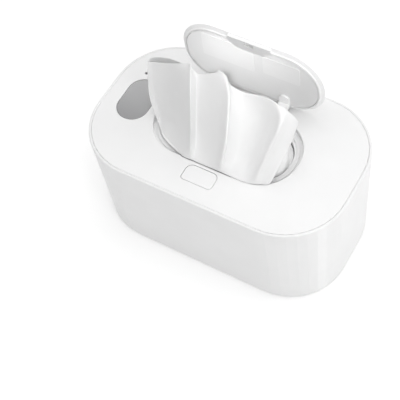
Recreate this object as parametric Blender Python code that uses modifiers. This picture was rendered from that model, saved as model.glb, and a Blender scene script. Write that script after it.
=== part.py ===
# Baby wipe warmer: a drafted tub, a lift-off heated cover, and a sprung flip lid on a gooseneck hinge.
# Metres, +Z up, +X to the right, +Y towards the hinge. The origin is under the middle of the feet.
import math

import bmesh
import bpy
from mathutils import Matrix, Vector

# Facets
arc_steps = 10
small_arc_steps = 5
round_steps = 3
turn_steps = 16
coil_steps = 10

# Tub
body_length = 0.2100
body_width = 0.1263
body_height = 0.0960
end_flat = 0.0289
end_draft = 0.0016
side_draft = 0.0025
base_round = 0.0018
rim_width = 0.0020
rim_round = 0.0010
shelf_width = 0.0016
tub_wall = 0.0026
floor_thickness = 0.0026
floor_round = 0.0060
edge_break = 0.0003

# Feet
foot_height = 0.0010
foot_radius = 0.0060
foot_thickness = 0.0018
foot_inset = 0.0260
foot_round = 0.0004

# Clearances
gap = 0.0003
seam_gap = 0.00035
lid_gap = 0.0004
pin_gap = 0.0003
overrun = 0.0010

# Cover panel
panel_thickness = 0.0022
cover_edge_height = 0.0040
cover_skirt = 0.0020
cover_seal_height = 0.0006
cover_seal_width = 0.0012
edge_round = 0.0008
recess_end_margin = 0.0461
recess_side_margin = 0.03305
recess_end_flat = 0.0022
recess_depth = 0.0046
recess_wall = 0.0018
ledge_end_width = 0.0064
ledge_side_width = 0.0061
opening_end_flat = 0.0008
collar_wall = 0.0018
notch_share = 0.702
notch_depth = 0.0011

# Cover base, the tray that closes the electronics in
base_depth = 0.0240
base_wall = 0.0016
boss_inset = 0.0129
boss_angle = math.radians(52.7)
front_boss_share = 0.4
front_boss_inset = 0.0122
boss_radius = 0.0032
screw_radius = 0.0012
screw_head_radius = 0.0026
screw_head_height = 0.0016
screw_length = 0.0110

# Heater under the cover
heater_inset = 0.0170
heater_reach = 0.0012
insulation_thickness = 0.0015
film_thickness = 0.0004
film_margin = 0.0020
plate_thickness = 0.0012
plate_boss_inset = 0.0279
plate_boss_angle = math.radians(52.4)
plate_boss_height = 0.0044
plate_screw_length = 0.0080
sensor_window_inset = 0.0330
sensor_window_length = 0.0190
sensor_window_width = 0.0180
sensor_radius = 0.0014
sensor_length = 0.0070
fuse_radius = 0.0018
fuse_length = 0.0095
sensor_spacing = 0.0050

# Electronics at the left end
display_inset = 0.0270
display_length = 0.0400
display_width = 0.0260
window_thickness = 0.0014
window_recess = 0.0001
window_lip = 0.0025
board_end_clearance = 0.0071
board_width = 0.0270
board_thickness = 0.0016
board_depth = 0.0144
board_corner = 0.0020
standoff_inset = 0.0035
standoff_end_inset = 0.0090
standoff_radius = 0.0026
capacitor_radius = 0.0032
capacitor_height = 0.0080
connector_size = 0.0044
socket_offset = 0.0076
socket_setback = 0.0045
socket_size = 0.0086
socket_hole_radius = 0.0012
socket_hole_depth = 0.0090
socket_mouth_radius = 0.0013
wire_radius = 0.0008
wire_spacing = 0.0024
lead_start_reach = [0.0045, 0.0105]
lead_start_setback = [0.0005, 0.0065]
lead_boss_clearance = 0.0075
lead_platform_clearance = 0.0059
lead_turn_insets = [0.0247, 0.0188, 0.0190]
lead_turn_angles = [math.radians(-90), math.radians(-49), math.radians(-15)]
lead_end_inset = 0.0210
lead_end_y = -0.0080

# Lid
lid_plate = 0.0018
lid_edge = 0.0007
lid_edge_round = 0.0004
lid_undercut = 0.0020
lid_skirt_inset = 0.0024
lid_skirt = 0.0016
lid_skirt_depth = 0.0034
liner_thickness = 0.0009
opening_seal_height = 0.0006
opening_seal_width = 0.0022
bulge_share = 0.585
bulge_tip_share = 0.401
bulge_front = 0.0005
bulge_depth = 0.0095
bulge_corner = 0.0012
catch_lip_thickness = 0.0007
catch_roof = 0.0012

# Gooseneck hinge
hinge_setback = 0.0071
hinge_depth = 0.0070
open_angle = math.radians(90.0)
arm_share = 0.903
arm_width = 0.0084
arm_inner_radius = 0.0109
arm_thickness = 0.0033
arm_spoke_angle = math.radians(262.0)
arm_spoke_width = 0.0032
arm_boss_radius = 0.0034
arm_pad_length = 0.0143
arm_pad_thickness = 0.0016
rod_radius = 0.0013
ear_thickness = 0.0020
ear_radius = 0.0038
arm_side_gap = 0.0006
coil_radius = 0.0028
coil_wire = 0.0004
coil_turns = 5
coil_pitch = 0.0014
coil_leg = 0.0090

# Release button and latch
button_width = 0.0252
button_setback = 0.0036
button_depth = 0.0138
button_front_corner = 0.0025
button_back_corner = 0.0050
button_gap = 0.0004
button_travel = 0.0012
button_flange = 0.0012
button_flange_thickness = 0.0010
blade_x = 0.0088
blade_width = 0.0036
blade_thickness = 0.0026
blade_setback = 0.0040
blade_length = 0.0112
slider_thickness = 0.0026
slider_width = 0.0250
slider_front_inset = 0.0020
slider_back_inset = 0.0001
slider_depth = 0.0091
hook_width = 0.0066
hook_thickness = 0.0014
hook_setback = 0.0011
hook_barb = 0.0008
hook_barb_height = 0.0009
hook_top_depth = 0.0015
platform_width = 0.0282
platform_back_inset = 0.0016
platform_reach = 0.0015
platform_rail = 0.0022
button_coil_radius = 0.0032
post_radius = 0.0020
post_height = 0.0030
button_coil_wire = 0.0003
button_coil_turns = 6

# Wipes
stack_end_room = 0.0200
stack_side_room = 0.01715
stack_clearance = 0.0007
stack_radius = 0.0120
stack_bulge = 0.0030
stack_gap = 0.0006
stack_folds = 4
wipe_thickness = 0.0009
wipe_height = 0.0720

# The drawn wipe's fold lines from its left edge to its right, as shares of half the opening's length,
# half its width and the wipe's height, from the lowest line to the top
fold_line_shares = [
    [(-0.34, 0.04, -0.89), (-0.30, -0.08, -0.89), (-0.23, 0.08, -0.89), (-0.15, -0.12, -0.89),
     (-0.08, 0.08, -0.89), (0.00, -0.12, -0.89), (0.08, 0.08, -0.89), (0.15, -0.12, -0.89),
     (0.21, 0.08, -0.89), (0.27, -0.08, -0.89), (0.34, 0.04, -0.89)],
    [(-0.57, 0.25, -0.25), (-0.63, -0.42, -0.25), (-0.46, -0.50, -0.25), (-0.25, -0.71, -0.25),
     (-0.08, -0.50, -0.25), (0.06, -0.71, -0.25), (0.17, -0.67, -0.25), (0.30, -0.62, -0.25),
     (0.44, -0.46, -0.25), (0.55, -0.58, -0.25), (0.63, -0.42, -0.25)],
    [(-0.72, 0.33, 0.01), (-0.82, -0.71, -0.01), (-0.57, -0.83, 0.00), (-0.25, -0.94, 0.01),
     (-0.08, -0.67, 0.01), (0.10, -0.92, 0.01), (0.19, -0.94, 0.01), (0.42, -0.79, 0.03),
     (0.63, -0.54, 0.04), (0.76, -0.83, 0.00), (0.84, -0.71, 0.00)],
    [(-0.82, 0.46, 0.31), (-1.07, -0.50, 0.31), (-0.69, -0.50, 0.42), (-0.29, -0.71, 0.42),
     (-0.09, -0.29, 0.42), (0.10, -0.54, 0.42), (0.18, -0.42, 0.42), (0.38, -0.33, 0.38),
     (0.63, 0.08, 0.25), (0.70, -0.25, 0.33), (0.97, -0.25, 0.25)],
    [(-0.86, 0.58, 0.58), (-1.10, -0.08, 0.75), (-0.72, 0.08, 0.86), (-0.32, -0.21, 1.00),
     (-0.10, 0.08, 0.92), (0.11, -0.08, 1.00), (0.17, 0.21, 0.83), (0.32, 0.17, 0.72), (0.72, 0.21, 0.78),
     (0.69, 0.62, 0.56), (1.07, 0.42, 0.54)],
]

# Levels and outlines that follow from the sizes above
rim_z = foot_height + body_height
floor_z = foot_height + floor_thickness
panel_underside = rim_z - panel_thickness
cover_base_z = rim_z - base_depth
cover_floor_z = cover_base_z + base_wall
hinge_z = rim_z - hinge_depth
board_top = rim_z - board_depth
insulation_top = cover_base_z - gap
film_top = insulation_top - insulation_thickness - gap
plate_top = film_top - film_thickness - gap
blade_top_z = panel_underside - gap - button_flange_thickness / 2
slider_top = rim_z - slider_depth
slider_bottom = slider_top - slider_thickness
arm_outer_radius = arm_inner_radius + arm_thickness

corner_radius = (body_width - end_flat) / 2
base_corner_radius = corner_radius - side_draft
recess_length = body_length - 2 * recess_end_margin
recess_width = body_width - 2 * recess_side_margin
recess_radius = (recess_width - recess_end_flat) / 2
hinge_y = recess_width / 2 + hinge_setback
opening_length = recess_length - 2 * ledge_end_width
opening_width = recess_width - 2 * ledge_side_width
opening_radius = (opening_width - opening_end_flat) / 2
recess_straight = recess_length / 2 - recess_radius
arm_x = recess_straight * arm_share
notch_length = 2 * recess_straight * notch_share
bulge_length = 2 * recess_straight * bulge_share
bulge_tip_length = 2 * recess_straight * bulge_tip_share
stack_length = body_length - 2 * stack_end_room
stack_width = body_width - 2 * stack_side_room
display_x = display_inset - body_length / 2
socket_x = display_x - socket_offset
socket_y = display_length / 2 + socket_setback
sensor_window_x = body_length / 2 - sensor_window_inset
button_back = -recess_width / 2 - button_setback
button_front = button_back - button_depth
button_y = (button_front + button_back) / 2
blade_top_y = button_front + blade_setback
slider_front = button_front + slider_front_inset
slider_back = slider_back_inset - recess_width / 2
hook_back = -opening_width / 2 - hook_setback
platform_back = platform_back_inset - recess_width / 2
platform_front = button_front - platform_reach
cover_inset = rim_width + seam_gap
tray_inset = cover_inset + cover_skirt + seam_gap
tray_radius = corner_radius - tray_inset - base_wall
board_reach = corner_radius - display_inset + board_width / 2
board_half_room = body_width / 2 - corner_radius + math.sqrt(tray_radius ** 2 - board_reach ** 2)
board_length = 2 * (board_half_room - board_end_clearance)
standoff_y = board_length / 2 - standoff_end_inset

body_plan = (body_length, body_width, corner_radius)
base_plan = (body_length - 2 * end_draft, body_width - 2 * side_draft, base_corner_radius)
recess_plan = (recess_length, recess_width, recess_radius)
front_boss = (front_boss_share * body_length / 2, front_boss_inset - body_width / 2)
fold_lines = [[(x * opening_length / 2, y * opening_width / 2, z * wipe_height) for x, y, z in line]
              for line in fold_line_shares]
wipe_low_z = rim_z + min(place[2] for place in fold_lines[0])
stack_height = wipe_low_z - stack_clearance - floor_z - stack_gap
opening_plan = (opening_length, opening_width, opening_radius)


def grown(plan, distance):
    """The plan moved outwards by a distance, or inwards by a negative one."""
    length, width, radius = plan
    return length + 2 * distance, width + 2 * distance, radius + distance


lid_plan = grown(recess_plan, -lid_gap)


def corner_outline(low_x, high_x, low_y, high_y, radii, steps=small_arc_steps):
    """A rectangle with round corners, counterclockwise from the +X +Y corner, with a radius for each."""
    points = []
    corners = [(high_x, high_y), (low_x, high_y), (low_x, low_y), (high_x, low_y)]
    for quarter, ((x, y), radius) in enumerate(zip(corners, radii)):
        centre_x = x - math.copysign(radius, x - (low_x + high_x) / 2)
        centre_y = y - math.copysign(radius, y - (low_y + high_y) / 2)
        for step in range(steps + 1):
            angle = (quarter + step / steps) * math.pi / 2
            points.append((centre_x + radius * math.cos(angle), centre_y + radius * math.sin(angle)))
    return points


def plan_outline(plan, centre=(0, 0), steps=arc_steps):
    """The outline of a plan given as length, width and corner radius."""
    length, width, radius = plan
    x, y = centre
    return corner_outline(x - length / 2, x + length / 2, y - width / 2, y + width / 2, [radius] * 4, steps)


def circle_outline(centre, radius, steps=turn_steps):
    """A round hole's outline."""
    turn = 2 * math.pi / steps
    return [(centre[0] + radius * math.cos(turn * i), centre[1] + radius * math.sin(turn * i))
            for i in range(steps)]


def both_sides(places):
    """Places given for the +X side, with their mirror images."""
    return places + [(-x, y) for x, y in places]


def corner_place(inset, angle):
    """A place in a right-hand corner, by its distance from the wall and angle about the corner's centre."""
    reach = corner_radius - inset
    centre_y = math.copysign(body_width / 2 - corner_radius, angle)
    return body_length / 2 - corner_radius + reach * math.cos(angle), centre_y + reach * math.sin(angle)


def cover_boss_places():
    corners = [corner_place(boss_inset, angle) for angle in (boss_angle, -boss_angle)]
    return both_sides(corners + [front_boss])


def plate_boss_places():
    return both_sides([corner_place(plate_boss_inset, angle)
                       for angle in (plate_boss_angle, -plate_boss_angle)])


# Scene, collections and materials
for old in list(bpy.data.objects):
    bpy.data.objects.remove(old, do_unlink=True)
warmer = bpy.data.collections.new("baby_wipe_warmer")
cutters = bpy.data.collections.new("cutters")
bpy.context.scene.collection.children.link(warmer)
bpy.context.scene.collection.children.link(cutters)


def finish(name, colour, roughness, metallic=0.0):
    """A Principled material."""
    material = bpy.data.materials.new(name)
    material.use_nodes = True
    shader = material.node_tree.nodes["Principled BSDF"]
    shader.inputs["Base Color"].default_value = (*colour, 1.0)
    shader.inputs["Roughness"].default_value = roughness
    shader.inputs["Metallic"].default_value = metallic
    return material


white_colour = (0.90, 0.90, 0.89)
inner_colour = (0.84, 0.84, 0.83)
wipe_colour = (0.93, 0.93, 0.92)


def placed(name, mesh, material, collection=warmer):
    """An object for a finished mesh."""
    piece = bpy.data.objects.new(name, mesh)
    collection.objects.link(piece)
    if material is not None:
        mesh.materials.append(material)
    return piece


def mesh_from(bm, name):
    """A mesh from a bmesh whose faces all point outwards."""
    bmesh.ops.remove_doubles(bm, verts=bm.verts, dist=1e-6)
    bmesh.ops.recalc_face_normals(bm, faces=bm.faces)
    mesh = bpy.data.meshes.new(name)
    bm.to_mesh(mesh)
    bm.free()
    mesh.shade_smooth()
    mesh.set_sharp_from_angle(angle=math.radians(30))
    return mesh


def evaluated_mesh(piece):
    """The mesh of an object with its modifiers applied, in world space, and the object removed."""
    bpy.context.view_layer.update()
    source = piece.evaluated_get(bpy.context.evaluated_depsgraph_get())
    mesh = bpy.data.meshes.new_from_object(source)
    mesh.transform(piece.matrix_world)
    bpy.data.objects.remove(piece, do_unlink=True)
    bm = bmesh.new()
    bm.from_mesh(mesh)
    bpy.data.meshes.remove(mesh)
    return bm


def loft(name, rings, closed=False):
    """Skin a list of (outline, height) rings, capped at both ends or closed into a loop."""
    bm = bmesh.new()
    loops = [[bm.verts.new((x, y, z)) for x, y in outline] for outline, z in rings]
    pairs = list(zip(loops, loops[1:] + loops[:1])) if closed else list(zip(loops, loops[1:]))
    for lower, upper in pairs:
        count = len(lower)
        for i in range(count):
            j = (i + 1) % count
            bm.faces.new((lower[i], lower[j], upper[j], upper[i]))
    if not closed:
        bm.faces.new(loops[0][::-1])
        bm.faces.new(loops[-1])
    return mesh_from(bm, name)


def flat_bmesh(outlines, low_z, high_z):
    """A plate between two heights, from a 2D curve with an outline and any holes."""
    curve = bpy.data.curves.new("outline", "CURVE")
    curve.dimensions = "2D"
    curve.fill_mode = "BOTH"
    curve.extrude = (high_z - low_z) / 2
    for outline in outlines:
        spline = curve.splines.new("POLY")
        spline.points.add(len(outline) - 1)
        for point, (x, y) in zip(spline.points, outline):
            point.co = (x, y, 0, 1)
        spline.use_cyclic_u = True
    piece = bpy.data.objects.new("outline", curve)
    bpy.context.scene.collection.objects.link(piece)
    piece.location.z = (low_z + high_z) / 2
    bm = evaluated_mesh(piece)
    bmesh.ops.remove_doubles(bm, verts=bm.verts, dist=1e-6)
    return bm


def flat_plate(name, outlines, low_z, high_z):
    """The mesh of a plate with holes."""
    return mesh_from(flat_bmesh(outlines, low_z, high_z), name)


def side_profile(name, outline, centre_x, width):
    """An outline in the Y-Z plane, given as (y, z), as thick as a width along X."""
    bm = flat_bmesh([outline], -width / 2, width / 2)
    turn = Matrix(((0, 0, 1, centre_x), (1, 0, 0, 0), (0, 1, 0, 0), (0, 0, 0, 1)))
    bmesh.ops.transform(bm, matrix=turn, verts=bm.verts)
    return mesh_from(bm, name)


def box_mesh(name, low, high):
    """A box between two corners."""
    bm = bmesh.new()
    size = Vector(high) - Vector(low)
    middle = (Vector(high) + Vector(low)) / 2
    bmesh.ops.create_cube(bm, size=1.0, matrix=Matrix.Translation(middle) @ Matrix.Diagonal((*size, 1.0)))
    return mesh_from(bm, name)


def rod_mesh(name, centre, radius, length, axis="Z", steps=turn_steps):
    """A cylinder about a centre, along an axis."""
    bm = bmesh.new()
    turns = {"X": Matrix.Rotation(math.pi / 2, 4, "Y"), "Y": Matrix.Rotation(math.pi / 2, 4, "X"),
             "Z": Matrix.Identity(4)}
    bmesh.ops.create_cone(bm, cap_ends=True, segments=steps, radius1=radius, radius2=radius, depth=length,
                          matrix=Matrix.Translation(centre) @ turns[axis])
    return mesh_from(bm, name)


def turned_mesh(name, profile, steps=turn_steps):
    """A turned profile, given as (radius, height) from top to bottom."""
    bm = bmesh.new()
    vertices = [bm.verts.new((radius, 0, z)) for radius, z in profile]
    for first, second in zip(vertices, vertices[1:]):
        bm.edges.new((first, second))
    mesh = bpy.data.meshes.new("profile")
    bm.to_mesh(mesh)
    bm.free()
    piece = bpy.data.objects.new("profile", mesh)
    bpy.context.scene.collection.objects.link(piece)
    screw = piece.modifiers.new("turn", "SCREW")
    screw.steps = steps
    screw.render_steps = steps
    screw.use_merge_vertices = True
    screw.merge_threshold = 1e-6
    return mesh_from(evaluated_mesh(piece), name)


def placed_copies(names, mesh, material, places):
    """Objects that share one mesh, set at their places."""
    mesh.materials.append(material)
    for name, place in zip(names, places):
        copy = placed(name, mesh, None)
        copy.location = place


def merged(name, meshes):
    """Several meshes as one, each a separate solid."""
    bm = bmesh.new()
    for mesh in meshes:
        bm.from_mesh(mesh)
        bpy.data.meshes.remove(mesh)
    return mesh_from(bm, name)


def tool(name, mesh, parent=None):
    """A mesh kept among the cutters, which is not part of the model."""
    piece = placed(name, mesh, None, cutters)
    piece.hide_render = True
    piece.display_type = "WIRE"
    if parent is not None:
        hang_on(piece, parent)
    return piece


def combine(piece, other, operation):
    """Cut a piece with another, or join the other to it."""
    boolean = piece.modifiers.new(operation.lower(), "BOOLEAN")
    boolean.operation = operation
    boolean.object = other
    boolean.solver = "EXACT"


def cut(piece, mesh, name, parent=None):
    combine(piece, tool(name, mesh, parent), "DIFFERENCE")


def join(piece, mesh, name, parent=None):
    combine(piece, tool(name, mesh, parent), "UNION")


def hang_on(piece, pivot):
    """Put a piece's origin on its joint, and parent it to the empty there."""
    piece.data.transform(Matrix.Translation(-pivot.location))
    piece.parent = pivot


def pivot_at(name, place):
    """An empty on a joint."""
    pivot = bpy.data.objects.new(name, None)
    warmer.objects.link(pivot)
    pivot.location = place
    return pivot


def tube(name, points, radius, material, resolution=1):
    """A wire along points, as a curve with a round bevel and filled caps."""
    curve = bpy.data.curves.new(name, "CURVE")
    curve.dimensions = "3D"
    curve.bevel_depth = radius
    curve.bevel_resolution = resolution
    curve.use_fill_caps = True
    spline = curve.splines.new("POLY")
    spline.points.add(len(points) - 1)
    for point, place in zip(spline.points, points):
        point.co = (*place, 1)
    curve.materials.append(material)
    piece = bpy.data.objects.new(name, curve)
    warmer.objects.link(piece)
    return piece


def mix(first, second, share):
    return first + (second - first) * share


def side_plan(z):
    """The outside of the drafted tub at a height."""
    share = (z - foot_height) / body_height
    return tuple(mix(low, high, share) for low, high in zip(base_plan, body_plan))


def rounded(plan, low_inset, high_inset, low_z, high_z, outward):
    """Rings of a quarter round between two insets and heights."""
    rings = []
    for step in range(round_steps + 1):
        angle = step / round_steps * math.pi / 2
        across = 1 - math.cos(angle) if outward else math.sin(angle)
        up = math.sin(angle) if outward else 1 - math.cos(angle)
        rings.append((plan_outline(grown(plan, -mix(low_inset, high_inset, across))),
                      mix(low_z, high_z, up)))
    return rings


# Tub
def make_tub():
    shelf_z = rim_z - cover_edge_height - cover_seal_height - 2 * gap
    inner_top = grown(body_plan, -rim_width - shelf_width)
    inner_base = grown(side_plan(floor_z), -tub_wall)
    rings = rounded(base_plan, base_round, 0, foot_height, foot_height + base_round, False)
    rings += rounded(body_plan, 0, rim_round, rim_z - rim_round, rim_z, True)
    rings.append((plan_outline(grown(body_plan, -rim_width + edge_break)), rim_z))
    rings.append((plan_outline(grown(body_plan, -rim_width)), rim_z - edge_break))
    rings.append((plan_outline(grown(body_plan, -rim_width)), shelf_z))
    rings.append((plan_outline(inner_top), shelf_z))
    rings += rounded(inner_base, 0, floor_round, floor_z + floor_round, floor_z, True)
    tub = placed("tub", loft("tub", rings), finish("tub_plastic", white_colour, 0.42))
    pockets = [rod_mesh("pocket", (x, y, foot_height), foot_radius + gap,
                        2 * (foot_thickness - foot_height + gap))
               for x, y in foot_places()]
    cut(tub, merged("foot_pockets", pockets), "foot_pockets")


def foot_places():
    """Four places well inside the corners of the base."""
    x = body_length / 2 - foot_inset
    y = body_width / 2 - foot_inset
    return [(sx * x, sy * y) for sx in (-1, 1) for sy in (-1, 1)]


def make_feet():
    profile = [(0, foot_thickness), (foot_radius - foot_round, foot_thickness),
               (foot_radius, foot_thickness - foot_round), (foot_radius, foot_round),
               (foot_radius - foot_round, 0), (0, 0)]
    names = ["foot_front_left", "foot_back_left", "foot_front_right", "foot_back_right"]
    placed_copies(names, turned_mesh("foot", profile), finish("foot_rubber", (0.75, 0.75, 0.74), 0.8),
                  [(x, y, 0) for x, y in foot_places()])


# Cover panel
def make_cover_panel():
    outer = grown(body_plan, -cover_inset)
    skirt_z = rim_z - cover_edge_height
    ledge_z = rim_z - recess_depth
    under_ledge_z = ledge_z - panel_thickness
    rings = [(plan_outline(outer), skirt_z)]
    rings += rounded(outer, 0, edge_break, rim_z - edge_break, rim_z, True)
    recess_edge = rounded(recess_plan, 0, -edge_round, rim_z - edge_round, rim_z, True)
    rings += recess_edge[::-1]
    rings.append((plan_outline(recess_plan), ledge_z))
    rings += rounded(opening_plan, 0, -edge_break, ledge_z - edge_break, ledge_z, True)[::-1]
    rings.append((plan_outline(opening_plan), cover_base_z))
    rings.append((plan_outline(grown(opening_plan, collar_wall)), cover_base_z))
    rings.append((plan_outline(grown(opening_plan, collar_wall)), under_ledge_z))
    rings.append((plan_outline(grown(recess_plan, recess_wall)), under_ledge_z))
    rings.append((plan_outline(grown(recess_plan, recess_wall)), panel_underside))
    rings.append((plan_outline(grown(outer, -cover_skirt)), panel_underside))
    rings.append((plan_outline(grown(outer, -cover_skirt)), skirt_z))
    panel = placed("cover_panel", loft("cover_panel", rings, closed=True),
                   finish("cover_plastic", white_colour, 0.45))
    bosses = [rod_mesh("boss", (x, y, mix(cover_floor_z + gap, panel_underside + overrun, 0.5)),
                       boss_radius,
                       panel_underside + overrun - cover_floor_z - gap)
              for x, y in cover_boss_places()]
    join(panel, merged("cover_bosses", bosses), "cover_bosses")
    join(panel, merged("hinge_ears", hinge_ears()), "hinge_ears")
    cut(panel, merged("panel_holes", panel_holes()), "panel_holes")
    light_plan = (display_width - 2 * window_lip, display_length - 2 * window_lip, display_width / 2
                  - window_lip - gap)
    light = flat_plate("light", [plan_outline(light_plan, (display_x, 0), small_arc_steps * 2)],
                       panel_underside - overrun, rim_z)
    cut(panel, light, "display_light")
    cut(panel, merged("hinge_slots", hinge_slots()), "hinge_slots")


def ear_places():
    """The middle of each hinge ear, on both sides of both arms."""
    reach = arm_width / 2 + arm_side_gap + ear_thickness / 2
    return [side * arm_x + step * reach for side in (-1, 1) for step in (-1, 1)]


def hinge_ears():
    """Ears that hang from the panel and carry the rod."""
    top = panel_underside + overrun
    outline = [(hinge_y + ear_radius, top), (hinge_y - ear_radius, top)]
    for step in range(small_arc_steps * 2 + 1):
        angle = math.pi + step / (small_arc_steps * 2) * math.pi
        outline.append((hinge_y + ear_radius * math.cos(angle), hinge_z + ear_radius * math.sin(angle)))
    return [side_profile("ear", outline, x, ear_thickness) for x in ear_places()]


def hinge_slots():
    """The slots that the arms swing through, in the recess wall, the ledge and the collar."""
    reach = arm_outer_radius + 2 * gap
    width = arm_width + 2 * arm_side_gap
    slots = [box_mesh("slot", (side * arm_x - width / 2, hinge_y - reach, hinge_z - reach),
                      (side * arm_x + width / 2, recess_width / 2 + recess_wall + overrun,
                       panel_underside - gap))
             for side in (-1, 1)]
    return slots + [rod_mesh("rod_bore", (0, hinge_y, hinge_z), rod_radius + pin_gap, 4 * arm_x, "X")]


def panel_holes():
    """The window's seat, the button's hole, the power socket's mouth, the boss bores and the latch slot."""
    seat_plan = (display_width, display_length, display_width / 2 - gap)
    seat_z = rim_z - window_thickness - window_recess - gap
    low = panel_underside - overrun
    high = rim_z + overrun
    place = (display_x, 0)
    holes = [flat_plate("seat", [plan_outline(seat_plan, place, small_arc_steps * 2)], seat_z, high),
             flat_plate("button_hole", [button_outline(button_gap)], low, high),
             rod_mesh("socket_mouth", (socket_x, socket_y, rim_z), socket_mouth_radius,
                      4 * panel_thickness)]
    bore_top = cover_floor_z + screw_length
    for x, y in cover_boss_places():
        holes.append(rod_mesh("bore", (x, y, mix(cover_floor_z - overrun, bore_top, 0.5)), screw_radius
                              + gap,
                              bore_top - cover_floor_z + overrun, "Z", 12))
    half = hook_width / 2 + gap
    notch_half = notch_length / 2
    wall_y = -recess_width / 2
    holes.append(box_mesh("latch_slot", (-half, hook_back - hook_thickness - button_travel - gap,
                                         slider_bottom - gap),
                          (half, -opening_width / 2 + overrun, rim_z - recess_depth + overrun)))
    holes.append(box_mesh("latch_notch", (-notch_half, wall_y - notch_depth, rim_z - recess_depth + gap),
                          (notch_half, wall_y + overrun, rim_z + overrun)))
    return holes


def button_outline(distance):
    """The release button's outline, moved outwards by a distance; its back corners are rounder."""
    half = button_width / 2 + distance
    back = button_back_corner + distance
    front = button_front_corner + distance
    return corner_outline(-half, half, button_front - distance, button_back + distance,
                          [back, back, front, front])


# Cover base
def make_cover_base():
    outer = grown(body_plan, -tray_inset)
    hole = grown(opening_plan, collar_wall + gap)
    top_z = panel_underside - gap
    rings = rounded(outer, edge_round, 0, cover_base_z, cover_base_z + edge_round, False)
    rings.append((plan_outline(outer), top_z))
    rings.append((plan_outline(grown(outer, -base_wall)), top_z))
    rings.append((plan_outline(grown(outer, -base_wall)), cover_floor_z))
    rings.append((plan_outline(hole), cover_floor_z))
    rings.append((plan_outline(hole), cover_base_z))
    base = placed("cover_base", loft("cover_base", rings, closed=True),
                  finish("base_plastic", inner_colour, 0.5))
    fixings = [rod_mesh("plate_boss", (x, y, cover_floor_z + plate_boss_height / 2 - overrun / 2),
                        boss_radius, plate_boss_height + overrun) for x, y in plate_boss_places()]
    floor_in = cover_floor_z - overrun
    fixings += [rod_mesh("standoff", (x, y, mix(floor_in, board_top - board_thickness - gap, 0.5)),
                         standoff_radius,
                         board_top - board_thickness - gap - floor_in) for x, y in standoff_places()]
    platform = (-platform_width / 2, platform_front, floor_in), (platform_width / 2, platform_back,
                                                                 slider_bottom - gap)
    fixings.append(box_mesh("platform", *platform))
    join(base, merged("base_fixings", fixings), "base_fixings")
    rails = []
    for side in (-1, 1):
        inner_x = side * (slider_width / 2 + gap)
        outer_x = inner_x + side * platform_rail
        rails.append(box_mesh("rail", (min(inner_x, outer_x), platform_front, floor_in),
                              (max(inner_x, outer_x), platform_back, slider_top)))
    join(base, merged("latch_rails", rails), "latch_rails")
    spring_y = button_y
    join(base, rod_mesh("spring_post", (0, spring_y, slider_bottom - gap + post_height / 2
                                        - overrun / 2), post_radius,
                        post_height + overrun, "Z", 12), "spring_post")
    holes = [rod_mesh("screw_hole", (x, y, mix(cover_base_z, cover_floor_z, 0.5)), screw_radius + gap,
                      4 * base_wall, "Z", 12) for x, y in cover_boss_places()]
    plate_hole = plate_boss_height + base_wall
    holes += [rod_mesh("plate_hole", (x, y, cover_base_z + plate_hole / 2 - overrun), screw_radius + gap,
                       plate_hole, "Z", 12) for x, y in plate_boss_places()]
    board_hole = board_top - cover_floor_z
    holes += [rod_mesh("board_hole", (x, y, board_top - board_hole / 2), screw_radius + gap, board_hole,
                       "Z", 12)
              for x, y in standoff_places()]
    holes.append(box_mesh("sensor_window", *sensor_window(overrun)))
    near = blade_top_y + blade_top_z - slider_bottom - button_travel - blade_thickness / 2 - gap
    far = blade_top_y + blade_length + blade_thickness / 2 + gap
    reach = blade_width / 2 + gap
    holes += [box_mesh("blade_pocket", (side * blade_x - reach, near, blade_top_z - blade_length
                                        - button_travel - gap),
                       (side * blade_x + reach, far, slider_bottom)) for side in (-1, 1)]
    cut(base, merged("base_holes", holes), "base_holes")


def standoff_places():
    """Three pillars under the board, clear of the power socket."""
    low_x = display_x - board_width / 2 + standoff_inset
    high_x = display_x + board_width / 2 - standoff_inset
    return [(high_x, standoff_y), (high_x, -standoff_y), (low_x, -standoff_y)]


def sensor_window(over):
    """The corners of the window over the heater, where the sensor and the fuse lie on the plate."""
    low = (sensor_window_x - sensor_window_length / 2, -sensor_window_width / 2, film_top
           - film_thickness - over)
    high = (sensor_window_x + sensor_window_length / 2, sensor_window_width / 2, cover_floor_z + over)
    return low, high


def screw_profile(length):
    """A pan-head screw, pointing up, from the top of its shank to the face of its head."""
    half = screw_radius / 2
    return [(0, length), (half, length), (screw_radius, length - screw_radius), (screw_radius, 0),
            (screw_head_radius, 0), (screw_head_radius, -screw_head_height / 2),
            (screw_head_radius - half, -screw_head_height), (0, -screw_head_height)]


def make_screws():
    steel = finish("screw_steel", (0.62, 0.62, 0.63), 0.35, 1.0)
    head_z = cover_base_z - gap
    sets = [("cover_screw", screw_profile(screw_length), cover_boss_places(), head_z),
            ("plate_screw", screw_profile(plate_screw_length), plate_boss_places(),
             plate_top - plate_thickness - gap)]
    flipped = [(radius, -z) for radius, z in screw_profile(plate_screw_length - base_wall)][::-1]
    sets.append(("board_screw", flipped, standoff_places(), board_top + gap))
    for name, profile, places, z in sets:
        names = [f"{name}_{index + 1}" for index in range(len(places))]
        placed_copies(names, turned_mesh(name, profile, 8), steel, [(x, y, z) for x, y in places])


def make_cover_seal():
    outer = grown(body_plan, -cover_inset)
    top_z = rim_z - cover_edge_height - gap
    outlines = [plan_outline(outer), plan_outline(grown(outer, -cover_seal_width))]
    placed("cover_seal", flat_plate("cover_seal", outlines, top_z - cover_seal_height, top_z),
           finish("seal_silicone", (0.80, 0.80, 0.80), 0.7))


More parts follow.
